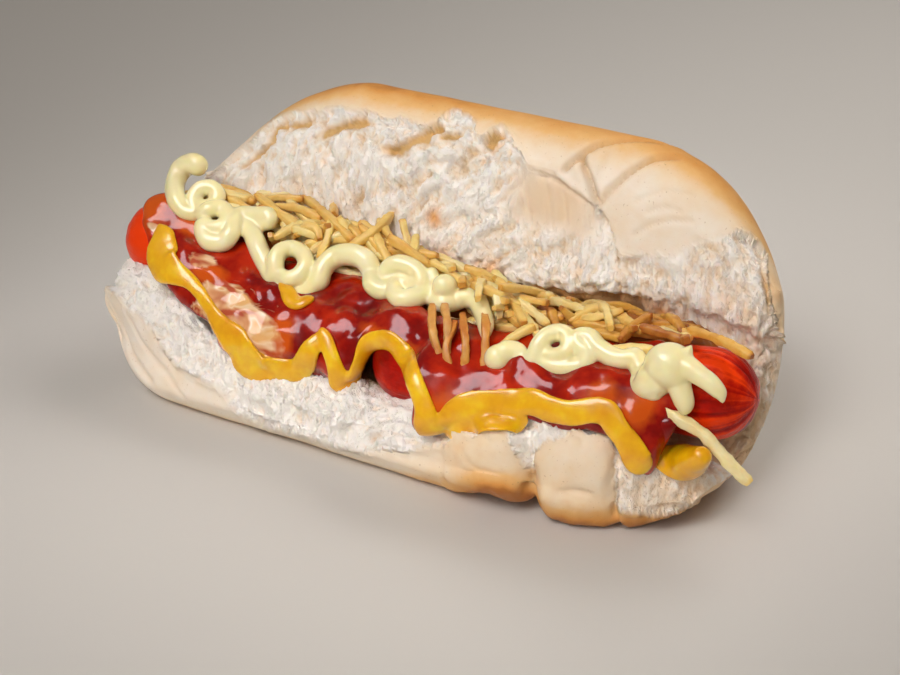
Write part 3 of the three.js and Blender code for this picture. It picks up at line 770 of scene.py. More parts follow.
def tube(places, radius, count, sides, swell, flat=None):
    """A rounded strand: its points in rings, its faces, and how far along each ring is from 0 to 1.
    swell(share, angle) adds to the radius, as a share of it, and flat(share) gives the way in which
    the strand is thin and how thin."""
    line = line_through(places)
    run = length_along(line)
    along = stations(0, run[-1], radius, radius, 2, radius, count)
    centre = np.stack([np.interp(along, run, c) for c in line.T], 1)
    heading = np.gradient(line, axis=0)
    heading = np.stack([np.interp(along, run, c) for c in heading.T], 1)
    heading /= np.linalg.norm(heading, axis=1)[:, None]
    side = np.cross(heading[0], (0.3, 0.2, 1))
    angle = np.linspace(0, 2 * np.pi, sides, endpoint=False)
    rings = []
    for place, ahead, x in zip(centre, heading, along):
        side = side - ahead * np.dot(side, ahead)
        side /= np.linalg.norm(side)
        r = radius * rounding(x, 0, run[-1], radius, radius, 2)
        r = r * (1 + swell(x / run[-1], angle))
        across, up = side, np.cross(ahead, side)
        if flat:
            up, thin = flat(x / run[-1])
            up = up - ahead * np.dot(up, ahead)
            up *= thin / np.linalg.norm(up)
            across = np.cross(up / thin, ahead)
        rings.append(place + np.outer(r * np.cos(angle), across) + np.outer(r * np.sin(angle), up))
    rings = np.array(rings)
    return rings.reshape(-1, 3), ring_faces(len(rings), sides), np.repeat(along / run[-1], sides)


sausage_finish, tree, shader = finish_named(
    "sausage casing",
    Roughness=0.3,
    Subsurface_Weight=0.05,
    Subsurface_Radius=(1.0, 0.2, 0.08),
    Subsurface_Scale=0.002,
    Specular_IOR_Level=0.1,
    Coat_Weight=0.2,
    Coat_Roughness=0.1,
    Coat_IOR=1.4,
)
casing = sum_of(tree, speckle(tree, 14, 3), speckle(tree, 1.6, 3), 0.3)
# Painted light and shade on the casing: the pucker's fold ridges and the left sausage's far tip lighter, the
# right sausage's inner tip darker.
casing = sum_of(tree, casing, attribute(tree, "casing_light_and_shade"), 0.25)
casing_colour = colours_over(
    tree,
    casing,
    [(0.35, (0.22, 0.003, 0.001)), (0.58, (0.46, 0.007, 0.001)), (0.85, (0.84, 0.050, 0.003))],
)
tree.links.new(casing_colour, shader.inputs["Base Color"])
bumps(tree, shader, 0.7, 0.6, speckle(tree, 2.2, 4, (0.35, 1, 1)))


def ripples(share, angle):
    """Uneven folds of the casing, drawn together at a tied end."""
    around_it = np.stack([np.cos(angle), np.sin(angle), 0.9 * share + 0 * angle], 1)
    return 1.6 * noise_of(around_it, 0.3, 1, 2.7) + 1.2 * noise_of(around_it, 0.12, 2, 5.1)


franks = []
for name, node_name, places, pucker in (
    ("left_frank", "sausage_left", LEFT_SAUSAGE, 0.0),
    ("right_frank", "sausage_right", RIGHT_SAUSAGE, 1.0),
):

    def swell(share, angle, pucker=pucker):
        drawn = pucker * smooth(0.80, 0.97, share) * (1 - 0.5 * smooth(0.99, 1, share))
        return 0.02 * math.sin(9 * share) + 0.02 * drawn * ripples(share, angle)

    points, faces, share = tube(places, SAUSAGE_RADIUS, SAUSAGE_STATIONS, SAUSAGE_SIDES, swell)
    angles = np.tile(np.linspace(0, 2 * np.pi, SAUSAGE_SIDES, endpoint=False), SAUSAGE_STATIONS + 1)
    # Painted light and shade: the pucker's fold ridges lighter and its hollows darker, the left sausage's far
    # tip lighter and the right sausage's inner tip darker.
    casing_light_and_shade = pucker * smooth(0.78, 0.93, share) * ripples(share, angles)
    casing_light_and_shade = casing_light_and_shade + (1.5 - 2.4 * pucker) * smooth(0.22, 0.04, share)
    frank = piece(name, points, faces, {"casing_light_and_shade": casing_light_and_shade})
    at = vectors_of(frank, "co")
    pushed(frank, 0.22 * noise_of(at, (9, 4, 4), 2) + 0.05 * noise_of(at, (3, 1.2, 1.2)))
    frank.data.materials.append(sausage_finish)
    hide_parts(node_name)
    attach(frank, "root")
    franks.append(frank)

# ------------------------------------------------------------------ ketchup
# A thick blanket over the front of both sausages, which ran down to the lower lip in places.
# Its stations are [x, degrees of the upper and the lower edge towards the front from straight up,
# the lower edge's distance from the filling's centre line].
FILLING = [
    (-104, -7, 41), (-80, -7, 34), (-45, -5, 28), (-20, -5, 27), (5, -14, 26), (45, -10, 28),
    (74, -6, 32), (99, -5.5, 35),
]
KETCHUP_STATIONS = [
    (-95, 4, 24, 12), (-91, -18, 52, 12.5), (-85, -20, 72, 13.5), (-79, -14, 85, 16), (-70, -6, 94, 20),
    (-57, 4, 100, 24), (-46, 10, 104, 29), (-34, 4, 106, 29), (-24, -8, 107, 27), (-14, -12, 107, 23),
    (-9, -13, 102, 20), (-4.5, -13, 68, 14.5), (3, -11, 57, 13), (9, -9, 62, 14), (12.5, -8, 72, 16),
    (16.5, -7, 92, 22), (20, -6, 108, 26), (28, -4, 104, 23), (44, -4, 94, 21.5), (58, -4, 98, 22.5),
    (68, 0, 98, 22.5), (74, 5, 108, 23.5), (78, 14, 123, 25.5), (81.5, 26, 127, 25.5), (84.5, 42, 112, 20),
    (87, 62, 86, 14),
]
# Where it lies thin over mustard and shines orange, and where mayonnaise has run into it, each as
# [x, degrees], [half length, half height].
KETCHUP_THIN = [
    ((-31, 84), (4, 12)), ((67, 74), (4, 12)), ((77, 80), (4, 12)), ((27, 92), (5, 12)), ((2, 54), (9, 8)),
    ((-62, 62), (6, 8)), ((-91, 14), (6, 34)), ((-76, 20), (5, 14)),
]
KETCHUP_MARBLED = [((-52, 80), (12, 15)), ((-40, 93), (9, 14)), ((-86, 44), (3, 6)), ((-66, 54), (4, 7))]
KETCHUP_ROUND_TIP = -90.8  # where the left sausage's round tip begins, which the ketchup follows
KETCHUP_TOP = 12.5
KETCHUP_HALF = 2.2
KETCHUP_STEPS, KETCHUP_ACROSS = 300, 60
filling_line = line_through(FILLING)


def around(place):
    """A place round the filling: [x, degrees towards the front from straight up, distance]."""
    x, degrees, distance = (np.asarray(value, float) for value in place)
    angle = np.radians(degrees)
    y = np.interp(x, filling_line[:, 0], filling_line[:, 1]) - distance * np.sin(angle)
    z = np.interp(x, filling_line[:, 0], filling_line[:, 2]) + distance * np.cos(angle)
    return np.stack([x, y, z], -1)


def ketchup_mesh():
    share = np.linspace(0, 1, KETCHUP_STEPS + 1)
    station_x, upper, lower, reach = np.array(KETCHUP_STATIONS, float).T
    rows = line_through(np.stack([station_x, upper, lower, reach], 1))
    run = np.linspace(0, 1, len(rows))
    x, top_edge, low_edge, low_reach = (np.interp(share, run, c)[:, None] for c in rows.T)
    s = np.linspace(0, 1, KETCHUP_ACROSS + 1)[None]
    fullness = (np.sin(np.pi * share) ** 0.3)[:, None]
    heaped = 1.4 * bell(x, -88, 5) * smooth(0.7, 0.2, s)  # a thick drop on the left tip
    half = (KETCHUP_HALF + heaped) * fullness * (1 - (2 * s - 1) ** 4) ** 0.5
    past_tip = np.clip(KETCHUP_ROUND_TIP - x, 0, 8)
    round_tip = SAUSAGE_RADIUS - np.sqrt(SAUSAGE_RADIUS**2 - past_tip**2)
    middle = KETCHUP_TOP + heaped - round_tip + (low_reach - KETCHUP_TOP) * smooth(0.3, 1, s)
    faces_of = []
    for side in (1, -1):
        turn = top_edge + (low_edge - top_edge) * s
        faces_of.append(around((x + 0 * s, turn, middle + side * half)))
    rings = np.concatenate([faces_of[0], faces_of[1][:, -2:0:-1]], 1)
    for end in (0, -1):
        rings[end] = rings[end].mean(0)
    turns = np.concatenate([turn, turn[:, -2:0:-1]], 1)
    marks = {}
    for key, spots in (("thin", KETCHUP_THIN), ("marbled", KETCHUP_MARBLED)):
        marks[key] = sum(bell(x, cx, rx) * bell(turns, cd, rd) for (cx, cd), (rx, rd) in spots)
    return piece("tomato_ketchup", rings.reshape(-1, 3), ring_faces(len(rings), rings.shape[1]), marks)


ketchup_finish, tree, shader = finish_named(
    "ketchup",
    Roughness=0.25,
    IOR=1.38,
    Subsurface_Weight=0.06,
    Subsurface_Radius=(1.0, 0.15, 0.03),
    Subsurface_Scale=0.0015,
    Specular_IOR_Level=0.1,
    Coat_Weight=1.0,
    Coat_Roughness=0.11,
    Coat_IOR=1.45,
)
thickness = sum_of(tree, speckle(tree, 12, 3), speckle(tree, 1.2, 2), 0.12)
ketchup_colour = colours_over(
    tree,
    thickness,
    [(0.3, (0.10, 0.0, 0.0)), (0.5, (0.25, 0.002, 0.0)), (0.72, (0.50, 0.020, 0.001))],
)
thin_parts = sum_of(tree, attribute(tree, "thin"), speckle(tree, 7, 3), 0.8)
ketchup_colour = mixed(tree, past(tree, thin_parts, 0.55, 1.0, 0.9), ketchup_colour, (0.64, 0.095, 0.004, 1))
drawn_out = speckle(tree, 9, 2.5, (1, 1.9, 1.4), 1.2)
marbling = sum_of(tree, attribute(tree, "marbled"), drawn_out, 0.9)
marbling = past(tree, marbling, 0.72, 0.9)
swirl = colours_over(
    tree,
    speckle(tree, 10, 1.5, (1, 1.8, 1.3), 0.8),
    [
        (0.36, (0.48, 0.09, 0.04)),
        (0.45, (0.70, 0.36, 0.17)),
        (0.54, (0.84, 0.60, 0.38)),
        (0.62, (0.76, 0.42, 0.16)),
    ],
)
ketchup_colour = mixed(tree, marbling, ketchup_colour, swirl)
tree.links.new(ketchup_colour, shader.inputs["Base Color"])
bumps(tree, shader, 0.28, 0.6, speckle(tree, 4, 2))
ketchup = ketchup_mesh()
at = vectors_of(ketchup, "co")
pushed(ketchup, 1.3 * noise_of(at, 10, 2, 2.3) + 0.65 * noise_of(at, 5, 1, 8.1))
ketchup.data.materials.append(ketchup_finish)
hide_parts("ketchup")
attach(ketchup, "root")

# ------------------------------------------------------------------ mustard
# One zigzag squeezed along the front, run flat and wide: down the left of the ketchup to a pool on the
# lower lip, up and down round the bare tip of a sausage, along the right and down to a second pool.
# Its strokes are [x, degrees towards the front, distance from the filling's line, half width].
MUSTARD_STROKES = [
    [
        (-82.5, 42, 21, 1.6), (-79.5, 50, 21, 3.4), (-78, 59, 21, 4.6), (-76, 69, 21, 5.0),
        (-71, 73, 21, 3.4), (-66, 75, 21, 2.2), (-61.5, 81, 21, 1.9), (-57.5, 91, 21, 2.2),
        (-53.5, 102, 21, 3.0), (-49.5, 113, 21, 4.4), (-47, 119, 22, 4.6), (-41, 121, 23, 3.6),
        (-34.5, 123, 22, 3.2), (-29.5, 119, 21, 3.4), (-24, 95, 21, 2.6), (-21, 77, 21, 1.7),
    ],
    [
        (-39.5, 47, 18, 1.4), (-36.5, 55, 18, 2), (-32.5, 63, 18, 2.4), (-29.5, 58, 18, 2.2),
        (-27, 51, 18, 1.6),
    ],
    [
        (-21, 74, 21, 1.5), (-17.5, 84, 21, 2.1), (-14.5, 97, 21, 2.3), (-12, 108, 22, 2.9),
        (-8, 100, 21, 2.8), (-4.5, 80, 21, 2.7), (-2, 65, 21, 2.7), (2, 56, 21, 2.8), (6.5, 54, 21, 2.8),
        (11, 60, 21, 2.8), (14.5, 70, 21, 2.5), (17, 83, 21, 2.3), (19, 98, 21, 2.6), (20, 112, 22, 3.4),
        (22.5, 118, 23, 3.6),
    ],
    [
        (24, 110, 22, 2.8), (28.5, 96, 21, 3.4), (33.5, 89, 21, 3.8), (39, 86, 21, 3.8), (44.5, 83, 21, 3.6),
        (49, 81, 21, 3.3), (54, 85, 21, 3.1), (60, 87, 21, 3), (65, 84, 21, 3.1), (69, 85, 21, 3.2),
        (72, 97, 21, 3), (75, 113, 21, 3.2), (78, 122, 23, 3.5), (82, 124, 23, 3),
    ],
    [
        (25, 120, 22, 2.6), (29.5, 108, 21, 3.4), (35, 102, 21, 3.6), (40, 102, 21, 3.8), (45, 97, 21, 3.4),
        (48.5, 90, 21, 2.4),
    ],
]
MUSTARD_POOLS = [
    [(-48, 118, 23, 3), (-45.5, 122, 23, 5.5), (-41, 122, 24, 5), (-37, 119, 23, 3)],
    [
        (84.5, 117, 22, 3.6), (87.5, 121, 22, 4.8), (90.5, 120, 22, 5.2), (93.5, 114, 22, 4.2),
        (95.5, 108, 22, 2.6),
    ],
]
MUSTARD_THICK = 1.25
MUSTARD_SPREAD = 1.15
SAUCE_VOXEL = 0.42
LAID_FROM, LAID_REACH = 14, 40  # where above a line the way down to what lies below starts, and its length
BRIDGED = 14  # rounds in which a stroke draws taut over a gap below it
EVENED = 16  # rounds in which it is evened out after that
STROKE_STATIONS, STROKE_SIDES = 260, 24
BLOB_RINGS, BLOB_SIDES = 17, 24


def blob(centre, size, turned=np.eye(3)):
    """A ball or an egg of sauce."""
    turn = np.linspace(0, 2 * np.pi, BLOB_SIDES, endpoint=False)
    rise = np.linspace(-np.pi / 2, np.pi / 2, BLOB_RINGS)[:, None]
    girth = np.cos(rise)
    ball = np.stack([girth * np.cos(turn), girth * np.sin(turn), np.sin(rise) + 0 * turn], -1)
    points = (ball * np.array(size)).reshape(-1, 3) @ turned.T + centre
    return points, ring_faces(BLOB_RINGS, BLOB_SIDES), None


def poured(name, bodies, rounds):
    """Overlapping bodies of sauce run into one skin, whose joins are softened by rounds of smoothing."""
    points, faces, start = [], [], 0
    for body_points, body_faces, _ in bodies:
        points.append(body_points)
        faces.append(body_faces + start)
        start += len(body_points)
    raw = piece(name, np.vstack(points), np.vstack(faces))
    merge = raw.modifiers.new("merge", "REMESH")
    merge.mode = "VOXEL"
    merge.voxel_size = SAUCE_VOXEL * MM
    soften = raw.modifiers.new("soften", "SMOOTH")
    soften.factor = 0.5
    soften.iterations = rounds
    finished = plain_mesh(raw)
    raw.modifiers.clear()
    raw.data = finished
    return raw


mustard_finish, tree, shader = finish_named(
    "mustard",
    Roughness=0.32,
    IOR=1.4,
    Subsurface_Weight=0.2,
    Subsurface_Radius=(1.0, 0.45, 0.05),
    Subsurface_Scale=0.0015,
    Coat_Weight=1.0,
    Coat_Roughness=0.12,
)
mustard_colour = colours_over(
    tree,
    sum_of(tree, speckle(tree, 9, 3), speckle(tree, 2.5, 3), 0.25),
    [(0.4, (0.74, 0.315, 0.001)), (0.65, (0.84, 0.44, 0.002)), (0.85, (0.91, 0.60, 0.008))],
)
tree.links.new(mustard_colour, shader.inputs["Base Color"])


def surfaces(*made):
    return [
        BVHTree.FromPolygons([v.co for v in one.data.vertices], [f.vertices for f in one.data.polygons])
        for one in made
    ]


def laid_on(line, bodies, lift):
    """Moves a line's places, along the way the hot dog is looked at, onto whatever they meet first.
    Gives them and the way out of what they lie on."""
    towards = direction_from(CAMERA_AZIMUTH, CAMERA_ELEVATION)
    depths, ways = [], []
    for place in line:
        above = (Vector(place) + towards * LAID_FROM) * MM
        hits = [hit for hit in (body.ray_cast(above, -towards, LAID_REACH * MM) for body in bodies) if hit[0]]
        nearest = min(hits, key=lambda hit: hit[3], default=(None, towards, 0, LAID_FROM * MM))
        depths.append(LAID_FROM - nearest[3] / MM)
        ways.append(nearest[1])
    depths, ways = np.array(depths), np.array(ways)
    for _ in range(BRIDGED):
        depths[1:-1] = np.maximum(depths[1:-1], (depths[:-2] + depths[2:]) / 2)
    for values in [depths, ways] * EVENED:
        values[1:-1] = (values[:-2] + 2 * values[1:-1] + values[2:]) / 4
    ways /= np.linalg.norm(ways, axis=1)[:, None]
    return line + np.outer(depths, towards) + lift * ways, ways


def course(places, per_span):
    """The line through places round the filling, and the half width at each of its points."""
    places = np.array(places, float)
    line = line_through(np.column_stack([around(places[:, :3].T), places[:, 3]]), per_span)
    return line[:, :3], line[:, 3]


def share_along(line):
    return length_along(line) / length_along(line)[-1]


def swell_of(along, radius):
    """The swell of a tube with the greatest of these radii, which lie along it at these shares."""
    return lambda share, angle: np.interp(share, along, radius) / radius.max() - 1 + 0 * angle


def stroke(places, bodies):
    """A stroke of sauce that has run flat on what it lies on, as wide as its places say."""
    line, width = course(places, 8)
    width = width * MUSTARD_SPREAD
    line, ways = laid_on(line, bodies, 0.35 * MUSTARD_THICK)
    along = share_along(line)

    def flat(share):
        thin = min(0.85, MUSTARD_THICK / np.interp(share, along, width))
        return np.array([np.interp(share, along, c) for c in ways.T]), thin

    return tube(line[::3], width.max(), STROKE_STATIONS, STROKE_SIDES, swell_of(along, width), flat)


def pool(places, bodies):
    """A flat pool of sauce on what lies below it, as wide as its places say."""
    line, width = course(places, 5)
    centres, ways = laid_on(line, bodies, 0)
    turned = np.array(Vector(ways.mean(0)).to_track_quat("Z", "Y").to_matrix())
    deep = 1.3 * MUSTARD_THICK
    return [blob(centre, (wide, wide, deep), turned) for centre, wide in zip(centres, width)]


under_sauce = surfaces(bread, ketchup, *franks)
mustard_bodies = [stroke(places, under_sauce) for places in MUSTARD_STROKES]
for places in MUSTARD_POOLS:
    mustard_bodies += pool(places, under_sauce)
mustard = poured("yellow_mustard", mustard_bodies, 10)
at = vectors_of(mustard, "co")
pushed(mustard, 0.45 * noise_of(at, 7, 1, 1.7) + 0.1 * noise_of(at, 3))
mustard.data.materials.append(mustard_finish)
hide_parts("mustard")
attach(mustard, "root")

# ------------------------------------------------------------------ mayonnaise
# Piped in curls between straws and ketchup, first from the left end, then from the middle to a horned
# dollop at the right end. Its strands are [x, degrees towards the front, distance, radius].
MAYO_STRANDS = [
    [
        (-81.5, -21, 25.5, 3.0), (-86, -22, 26, 3.0), (-90.5, -24, 22, 3.0), (-89.5, -15, 18, 2.8),
        (-84.5, 3, 16.5, 2.7), (-80.5, 8, 15.5, 2.4), (-77.5, 5, 16, 2.3), (-80, -4, 18, 2.3),
        (-79.5, -11, 21, 2.3), (-76.5, -15, 22.5, 2.3), (-74, -14, 21, 2.3), (-74.5, -8, 18.5, 2.2),
        (-76.5, -2, 17, 2.2), (-74.5, 6, 17, 2.3), (-73, 2, 18.5, 2.4), (-70.5, -6, 19, 2.4),
        (-66.5, 2, 18.5, 2.4), (-66, 14, 17.5, 2.3), (-69.5, 18, 16.5, 2.3), (-72.5, 16, 16, 2.3),
        (-71, 25, 15.5, 2.5), (-67.5, 32, 15.5, 2.6), (-63.5, 27, 16, 2.5), (-62.5, 19, 17, 2.6),
        (-64, 5, 18, 2.7), (-64.5, -9, 19, 2.5), (-60.5, -10, 20.5, 2.4), (-55, -9, 22, 2.3),
        (-54, -7, 21, 2.2), (-58, -8, 19, 2.3), (-62, -8, 18, 2.6), (-57.5, 4, 16.5, 2.7),
        (-52, 21, 16, 2.7), (-48, 33, 15.5, 2.5), (-44.5, 43, 15.5, 2.4), (-43.5, 37, 17, 2.3),
        (-44.5, 28, 18, 2.3), (-44.5, 18, 18.5, 2.3), (-42, 10, 18.5, 2.3), (-38, 14, 18.5, 2.3),
        (-35, 25, 18, 2.3), (-35.5, 36, 17.5, 2.3), (-38, 42, 17.5, 2.2), (-41, 41, 16.5, 2.1),
        (-40, 48, 15.5, 2.0), (-36, 54, 15, 2.0), (-32.5, 49, 15, 2.1), (-30.5, 38, 15.5, 2.3),
        (-29.5, 33, 16, 2.6), (-30, 24, 17, 2.7), (-29.5, 13, 18, 2.8), (-28, 7, 19, 2.8),
        (-23, 4, 20.5, 2.9), (-17.5, 3, 20, 2.9), (-15, 4, 17.5, 2.8), (-12.5, 13, 16.5, 2.7),
        (-9, 11, 16, 2.5), (-7, 0, 16.5, 2.4), (-9.5, -2, 17.5, 2.4), (-10, -4, 20, 2.4),
        (-7.5, -8, 22.5, 2.4), (-3.5, -14, 23, 2.4), (0, -17, 22, 2.3), (1.5, -16, 20, 2.3),
        (-2, -13, 18.5, 2.3), (-6, -6, 17.5, 2.4), (-5.5, 2, 16.5, 2.5), (-1.5, 5, 16, 2.6),
        (1.5, -5, 16.5, 2.6), (3.5, -18, 17.5, 2.5), (6, -20, 17, 2.5), (10, -14, 16.5, 2.4),
        (12.5, -22, 17.5, 2.4), (15, -24, 19, 2.5), (18.5, -22, 18.5, 2.6), (22.5, -10, 16.5, 2.4),
        (27, 13, 15.5, 2.0), (28.5, 29, 14.5, 1.2),
    ],
    [
        (35, 50, 16.5, 3.0), (36.5, 43, 16.5, 2.8), (39, 40, 16, 2.4), (41.5, 46, 15.5, 2.2),
        (44.5, 44, 16.5, 2.2), (45, 34, 17.5, 2.2), (46.5, 23, 18, 2.2), (49.5, 19, 18, 2.2),
        (52.5, 27, 17.5, 2.2), (53, 37, 17, 2.1), (50, 41, 16.5, 2.0), (47, 40, 16, 2.0),
        (46.5, 46, 15.5, 2.2), (50, 50, 15.5, 2.3), (54.5, 51, 15.5, 2.4), (58, 47, 15.5, 2.4),
        (58.5, 37, 16, 2.4), (55.5, 30, 17, 2.4), (54.5, 23, 17.5, 2.4), (57, 21, 17.5, 2.3),
        (60.5, 30, 16.5, 2.4), (65, 38, 16, 2.5), (68.5, 40, 16, 2.4), (71, 38, 16, 2.5),
        (72.5, 43, 15.5, 2.6), (74, 50, 15.5, 2.6), (77, 52, 16, 3.0), (80, 48, 16.5, 3.4),
    ],
    [
        (82, 44, 18.5, 4.6), (86.5, 45, 19.5, 3.0), (91, 50, 19.5, 2.3), (94.5, 55, 19, 2.1),
        (97, 61, 18, 1.8), (98, 69, 17, 1.0),
    ],
    [(82.5, 44, 19, 4.4), (85.5, 38, 20.5, 2.4), (87, 31, 22.5, 0.7)],
    [(84, 52, 17, 3.8), (86, 63, 16.5, 2.7), (87.5, 77, 15.5, 2.4), (87, 88, 15, 1.8)],
    [(82, 48, 17, 4.6), (76.5, 60, 16.5, 4.2), (73.5, 60, 16.5, 3.4), (72, 57, 17, 2.4)],
    [(79, 60, 16.5, 4.2), (77.5, 76, 16.5, 3.2)],
    [(2, -21, 24.5, 1.6), (4, -22, 22.5, 1.6), (6, -20, 20, 1.6)],
]
MAYO_FULLNESS = 1.12
STRAND_STATIONS, STRAND_SIDES = 12, 20  # the stations for each of a strand's places, and its sides
MAYO_BALLS = [
    ((9, -18, 21), (3.6, 3.6, 3.6)),
    ((82, 45, 18), (7, 6.2, 6.2)),
    ((35, 49, 16.5), (3.6, 3.6, 3.6)),
]


def strand(places):
    """A round strand as thick as its places say."""
    places = np.array(places, float)
    line = around(places[:, :3].T)
    thick = places[:, 3] * MAYO_FULLNESS
    count = STRAND_STATIONS * len(places)
    return tube(line, thick.max(), count, STRAND_SIDES, swell_of(share_along(line), thick))


mayo_finish, tree, shader = finish_named(
    "mayonnaise",
    Roughness=0.34,
    IOR=1.45,
    Subsurface_Weight=0.35,
    Subsurface_Radius=(1.0, 0.7, 0.3),
    Subsurface_Scale=0.0018,
    Coat_Weight=0.9,
    Coat_Roughness=0.1,
)
mayo_colour = colours_over(
    tree,
    speckle(tree, 12, 2),
    [(0.3, (0.90, 0.80, 0.41)), (0.6, (0.93, 0.85, 0.50)), (0.8, (0.94, 0.88, 0.58))],
)
tree.links.new(mayo_colour, shader.inputs["Base Color"])
mayo_bodies = [strand(places) for places in MAYO_STRANDS]
mayo_bodies += [blob(around(place), size) for place, size in MAYO_BALLS]
mayo = poured("egg_mayonnaise", mayo_bodies, 6)
at = vectors_of(mayo, "co")
pushed(mayo, 0.18 * noise_of(at, 7, 2, 9.3))
mayo.data.materials.append(mayo_finish)
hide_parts("mayonnaise")
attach(mayo, "root")

# ------------------------------------------------------------------ potato straws
# Fried matchsticks of potato about 2 mm square, 12 to 45 mm long and bent in frying, heaped in the
# slit behind the sausages over a core of packed ones. Those that stand out are placed one by one, as
# [x, degrees towards the front, distance], the others at random wherever they touch no bread.
STRAW_WIDTH = 2.35
LOOSE_WIDTH = 2.9
CORE_RADIUS = 8.5
CORE_STATIONS, CORE_SIDES = 160, 48
CORE_ROUTE = [
    (-86, 8, 42), (-80, 7.5, 42), (-72, 7, 40), (-40, 6, 40), (-8, 4, 38), (24, 3, 34), (56, 4, 36),
    (84, 7, 38),
]
LOOSE_STRAW = [(78, -20, 37), (85, -21.5, 34), (93, -21.2, 31), (100, -22, 26), (107, -22, 21)]
PLACED_STRAWS = [
    [(10, 6, 18), (16.5, 40, 18.4), (25.5, 86, 17.2)],
    [(13, 2, 18), (18.5, 26, 19), (22.5, 64, 17)],
    [(19.5, 20, 17.6), (21.5, 51, 18.6), (28.5, 92, 17)],
    [(20, 10, 18), (26, 43, 18.2), (28, 84, 17)],
    [(23, -10, 17), (29, 24, 18), (32.5, 64, 16.4)],
    [(79, -15, 16), (89.5, -2, 15.5), (100, 14, 14.5)],
    [(47, -10, 16.5), (53, -24, 20.5), (59.5, -18, 18.5), (69, 2, 16)],
    [(68, -20, 19), (66, -5, 17), (64.5, 19, 16)],
    [(68, -1, 17), (74.5, 5, 16.5), (81, 11, 16)],
    [(39.5, -23, 19), (42, -19, 16), (46.5, 6, 15.5)],
    [(34.5, 34, 16), (37.5, 21, 16.5), (40.5, 10, 17)],
    [(26, -32, 21.5), (34.5, -15, 16), (43, 20, 15.5)],
    [(37, 48, 15), (44.5, 58, 15), (53, 60, 15)],
    [(-64, -26, 25), (-49.5, -9, 23.5), (-35, -2, 21)],
    [(-53, -38, 29.5), (-38, -15, 27.5), (-24.5, -4, 23)],
    [(-41.5, -34, 34), (-41.5, -35, 31), (-36.5, -20, 27)],
    [(-20.5, -34, 33.5), (-19.5, -13, 27), (-26, 1, 20.5)],
    [(-24, -29, 29), (-16, -18, 27), (-10.5, -16, 25.5)],
    [(-66.5, -34, 25), (-58.5, -37, 28), (-49, -36, 28.5)],
    [(-57, -22, 24), (-48.5, -19, 26), (-39, -16, 25.5)],
    [(-34.5, -12, 26.5), (-32.5, 1, 22), (-33.5, 10, 17.5)],
    [(-43, 1, 21), (-41, -3, 23.5), (-37, -3, 24), (-34.5, 2, 22)],
    [(-8, -28, 30), (-5.5, -22, 27.5), (-4.5, -17, 24.5)],
    [(17, -43, 28.5), (30, -28, 20.5), (42.5, -1, 16)],
    [(23.5, -34, 24), (28.5, -27, 19.5), (36.5, 3, 16)],
    [(-72.5, -23, 21), (-66, -18, 21), (-57.5, -10, 19.5)],
    [(-77.5, -22, 21.5), (-72, -25, 22), (-66.5, -26, 23)],
    [(1, -24, 26), (7.5, -26, 25), (15.5, -26, 21)],
    [(12, -34, 27.5), (21, -28, 22), (28.5, -16, 17)],
    [(52.5, 18, 16), (58, 12, 16.5), (65, 15, 16)],
    [(61, 32, 15.5), (67.5, 28, 16), (75, 26, 15.5)],
]
DIPPED = 5  # the first of them stand in the ketchup
BROWNER_PAST = 38  # the x past which the straws are fried browner
STRAW_COUNT = 140
NEAR_BODY = 12  # a place further than this from a body's surface isn't in it
STRAW_SEED = 11

straw_finish, tree, shader = finish_named(
    "fried potato",
    Roughness=0.42,
    IOR=1.45,
    Subsurface_Weight=0.2,
    Subsurface_Radius=(1.0, 0.6, 0.2),
    Subsurface_Scale=0.0012,
    Coat_Weight=0.25,
    Coat_Roughness=0.2,
)
fried = sum_of(tree, attribute(tree, "fried"), speckle(tree, 4, 3), 0.45)
fried = sum_of(tree, fried, attribute(tree, "tip"), 0.28)
straw_colour = colours_over(
    tree,
    fried,
    [
        (0.2, (0.90, 0.80, 0.46)),
        (0.48, (0.88, 0.65, 0.22)),
        (0.78, (0.76, 0.41, 0.07)),
        (1.0, (0.42, 0.13, 0.018)),
    ],
)
smeared = times(tree, attribute(tree, "sauced"), speckle(tree, 5, 2))
straw_colour = mixed(tree, smeared, straw_colour, (0.50, 0.10, 0.015, 1))
tree.links.new(straw_colour, shader.inputs["Base Color"])
bumps(tree, shader, 0.5, 0.3, speckle(tree, 0.8, 3))


def curve_over(tree, value, *stops):
    """A smooth curve through stops along a value from 0 to 1."""
    made = node(tree, "ShaderNodeFloatCurve", inputs={"Value": value})
    curve = made.mapping.curves[0]
    for place, level in stops[1:-1]:
        curve.points.new(place, level)
    curve.points[0].location, curve.points[-1].location = stops[0], stops[-1]
    made.mapping.update()
    return made.outputs[0]


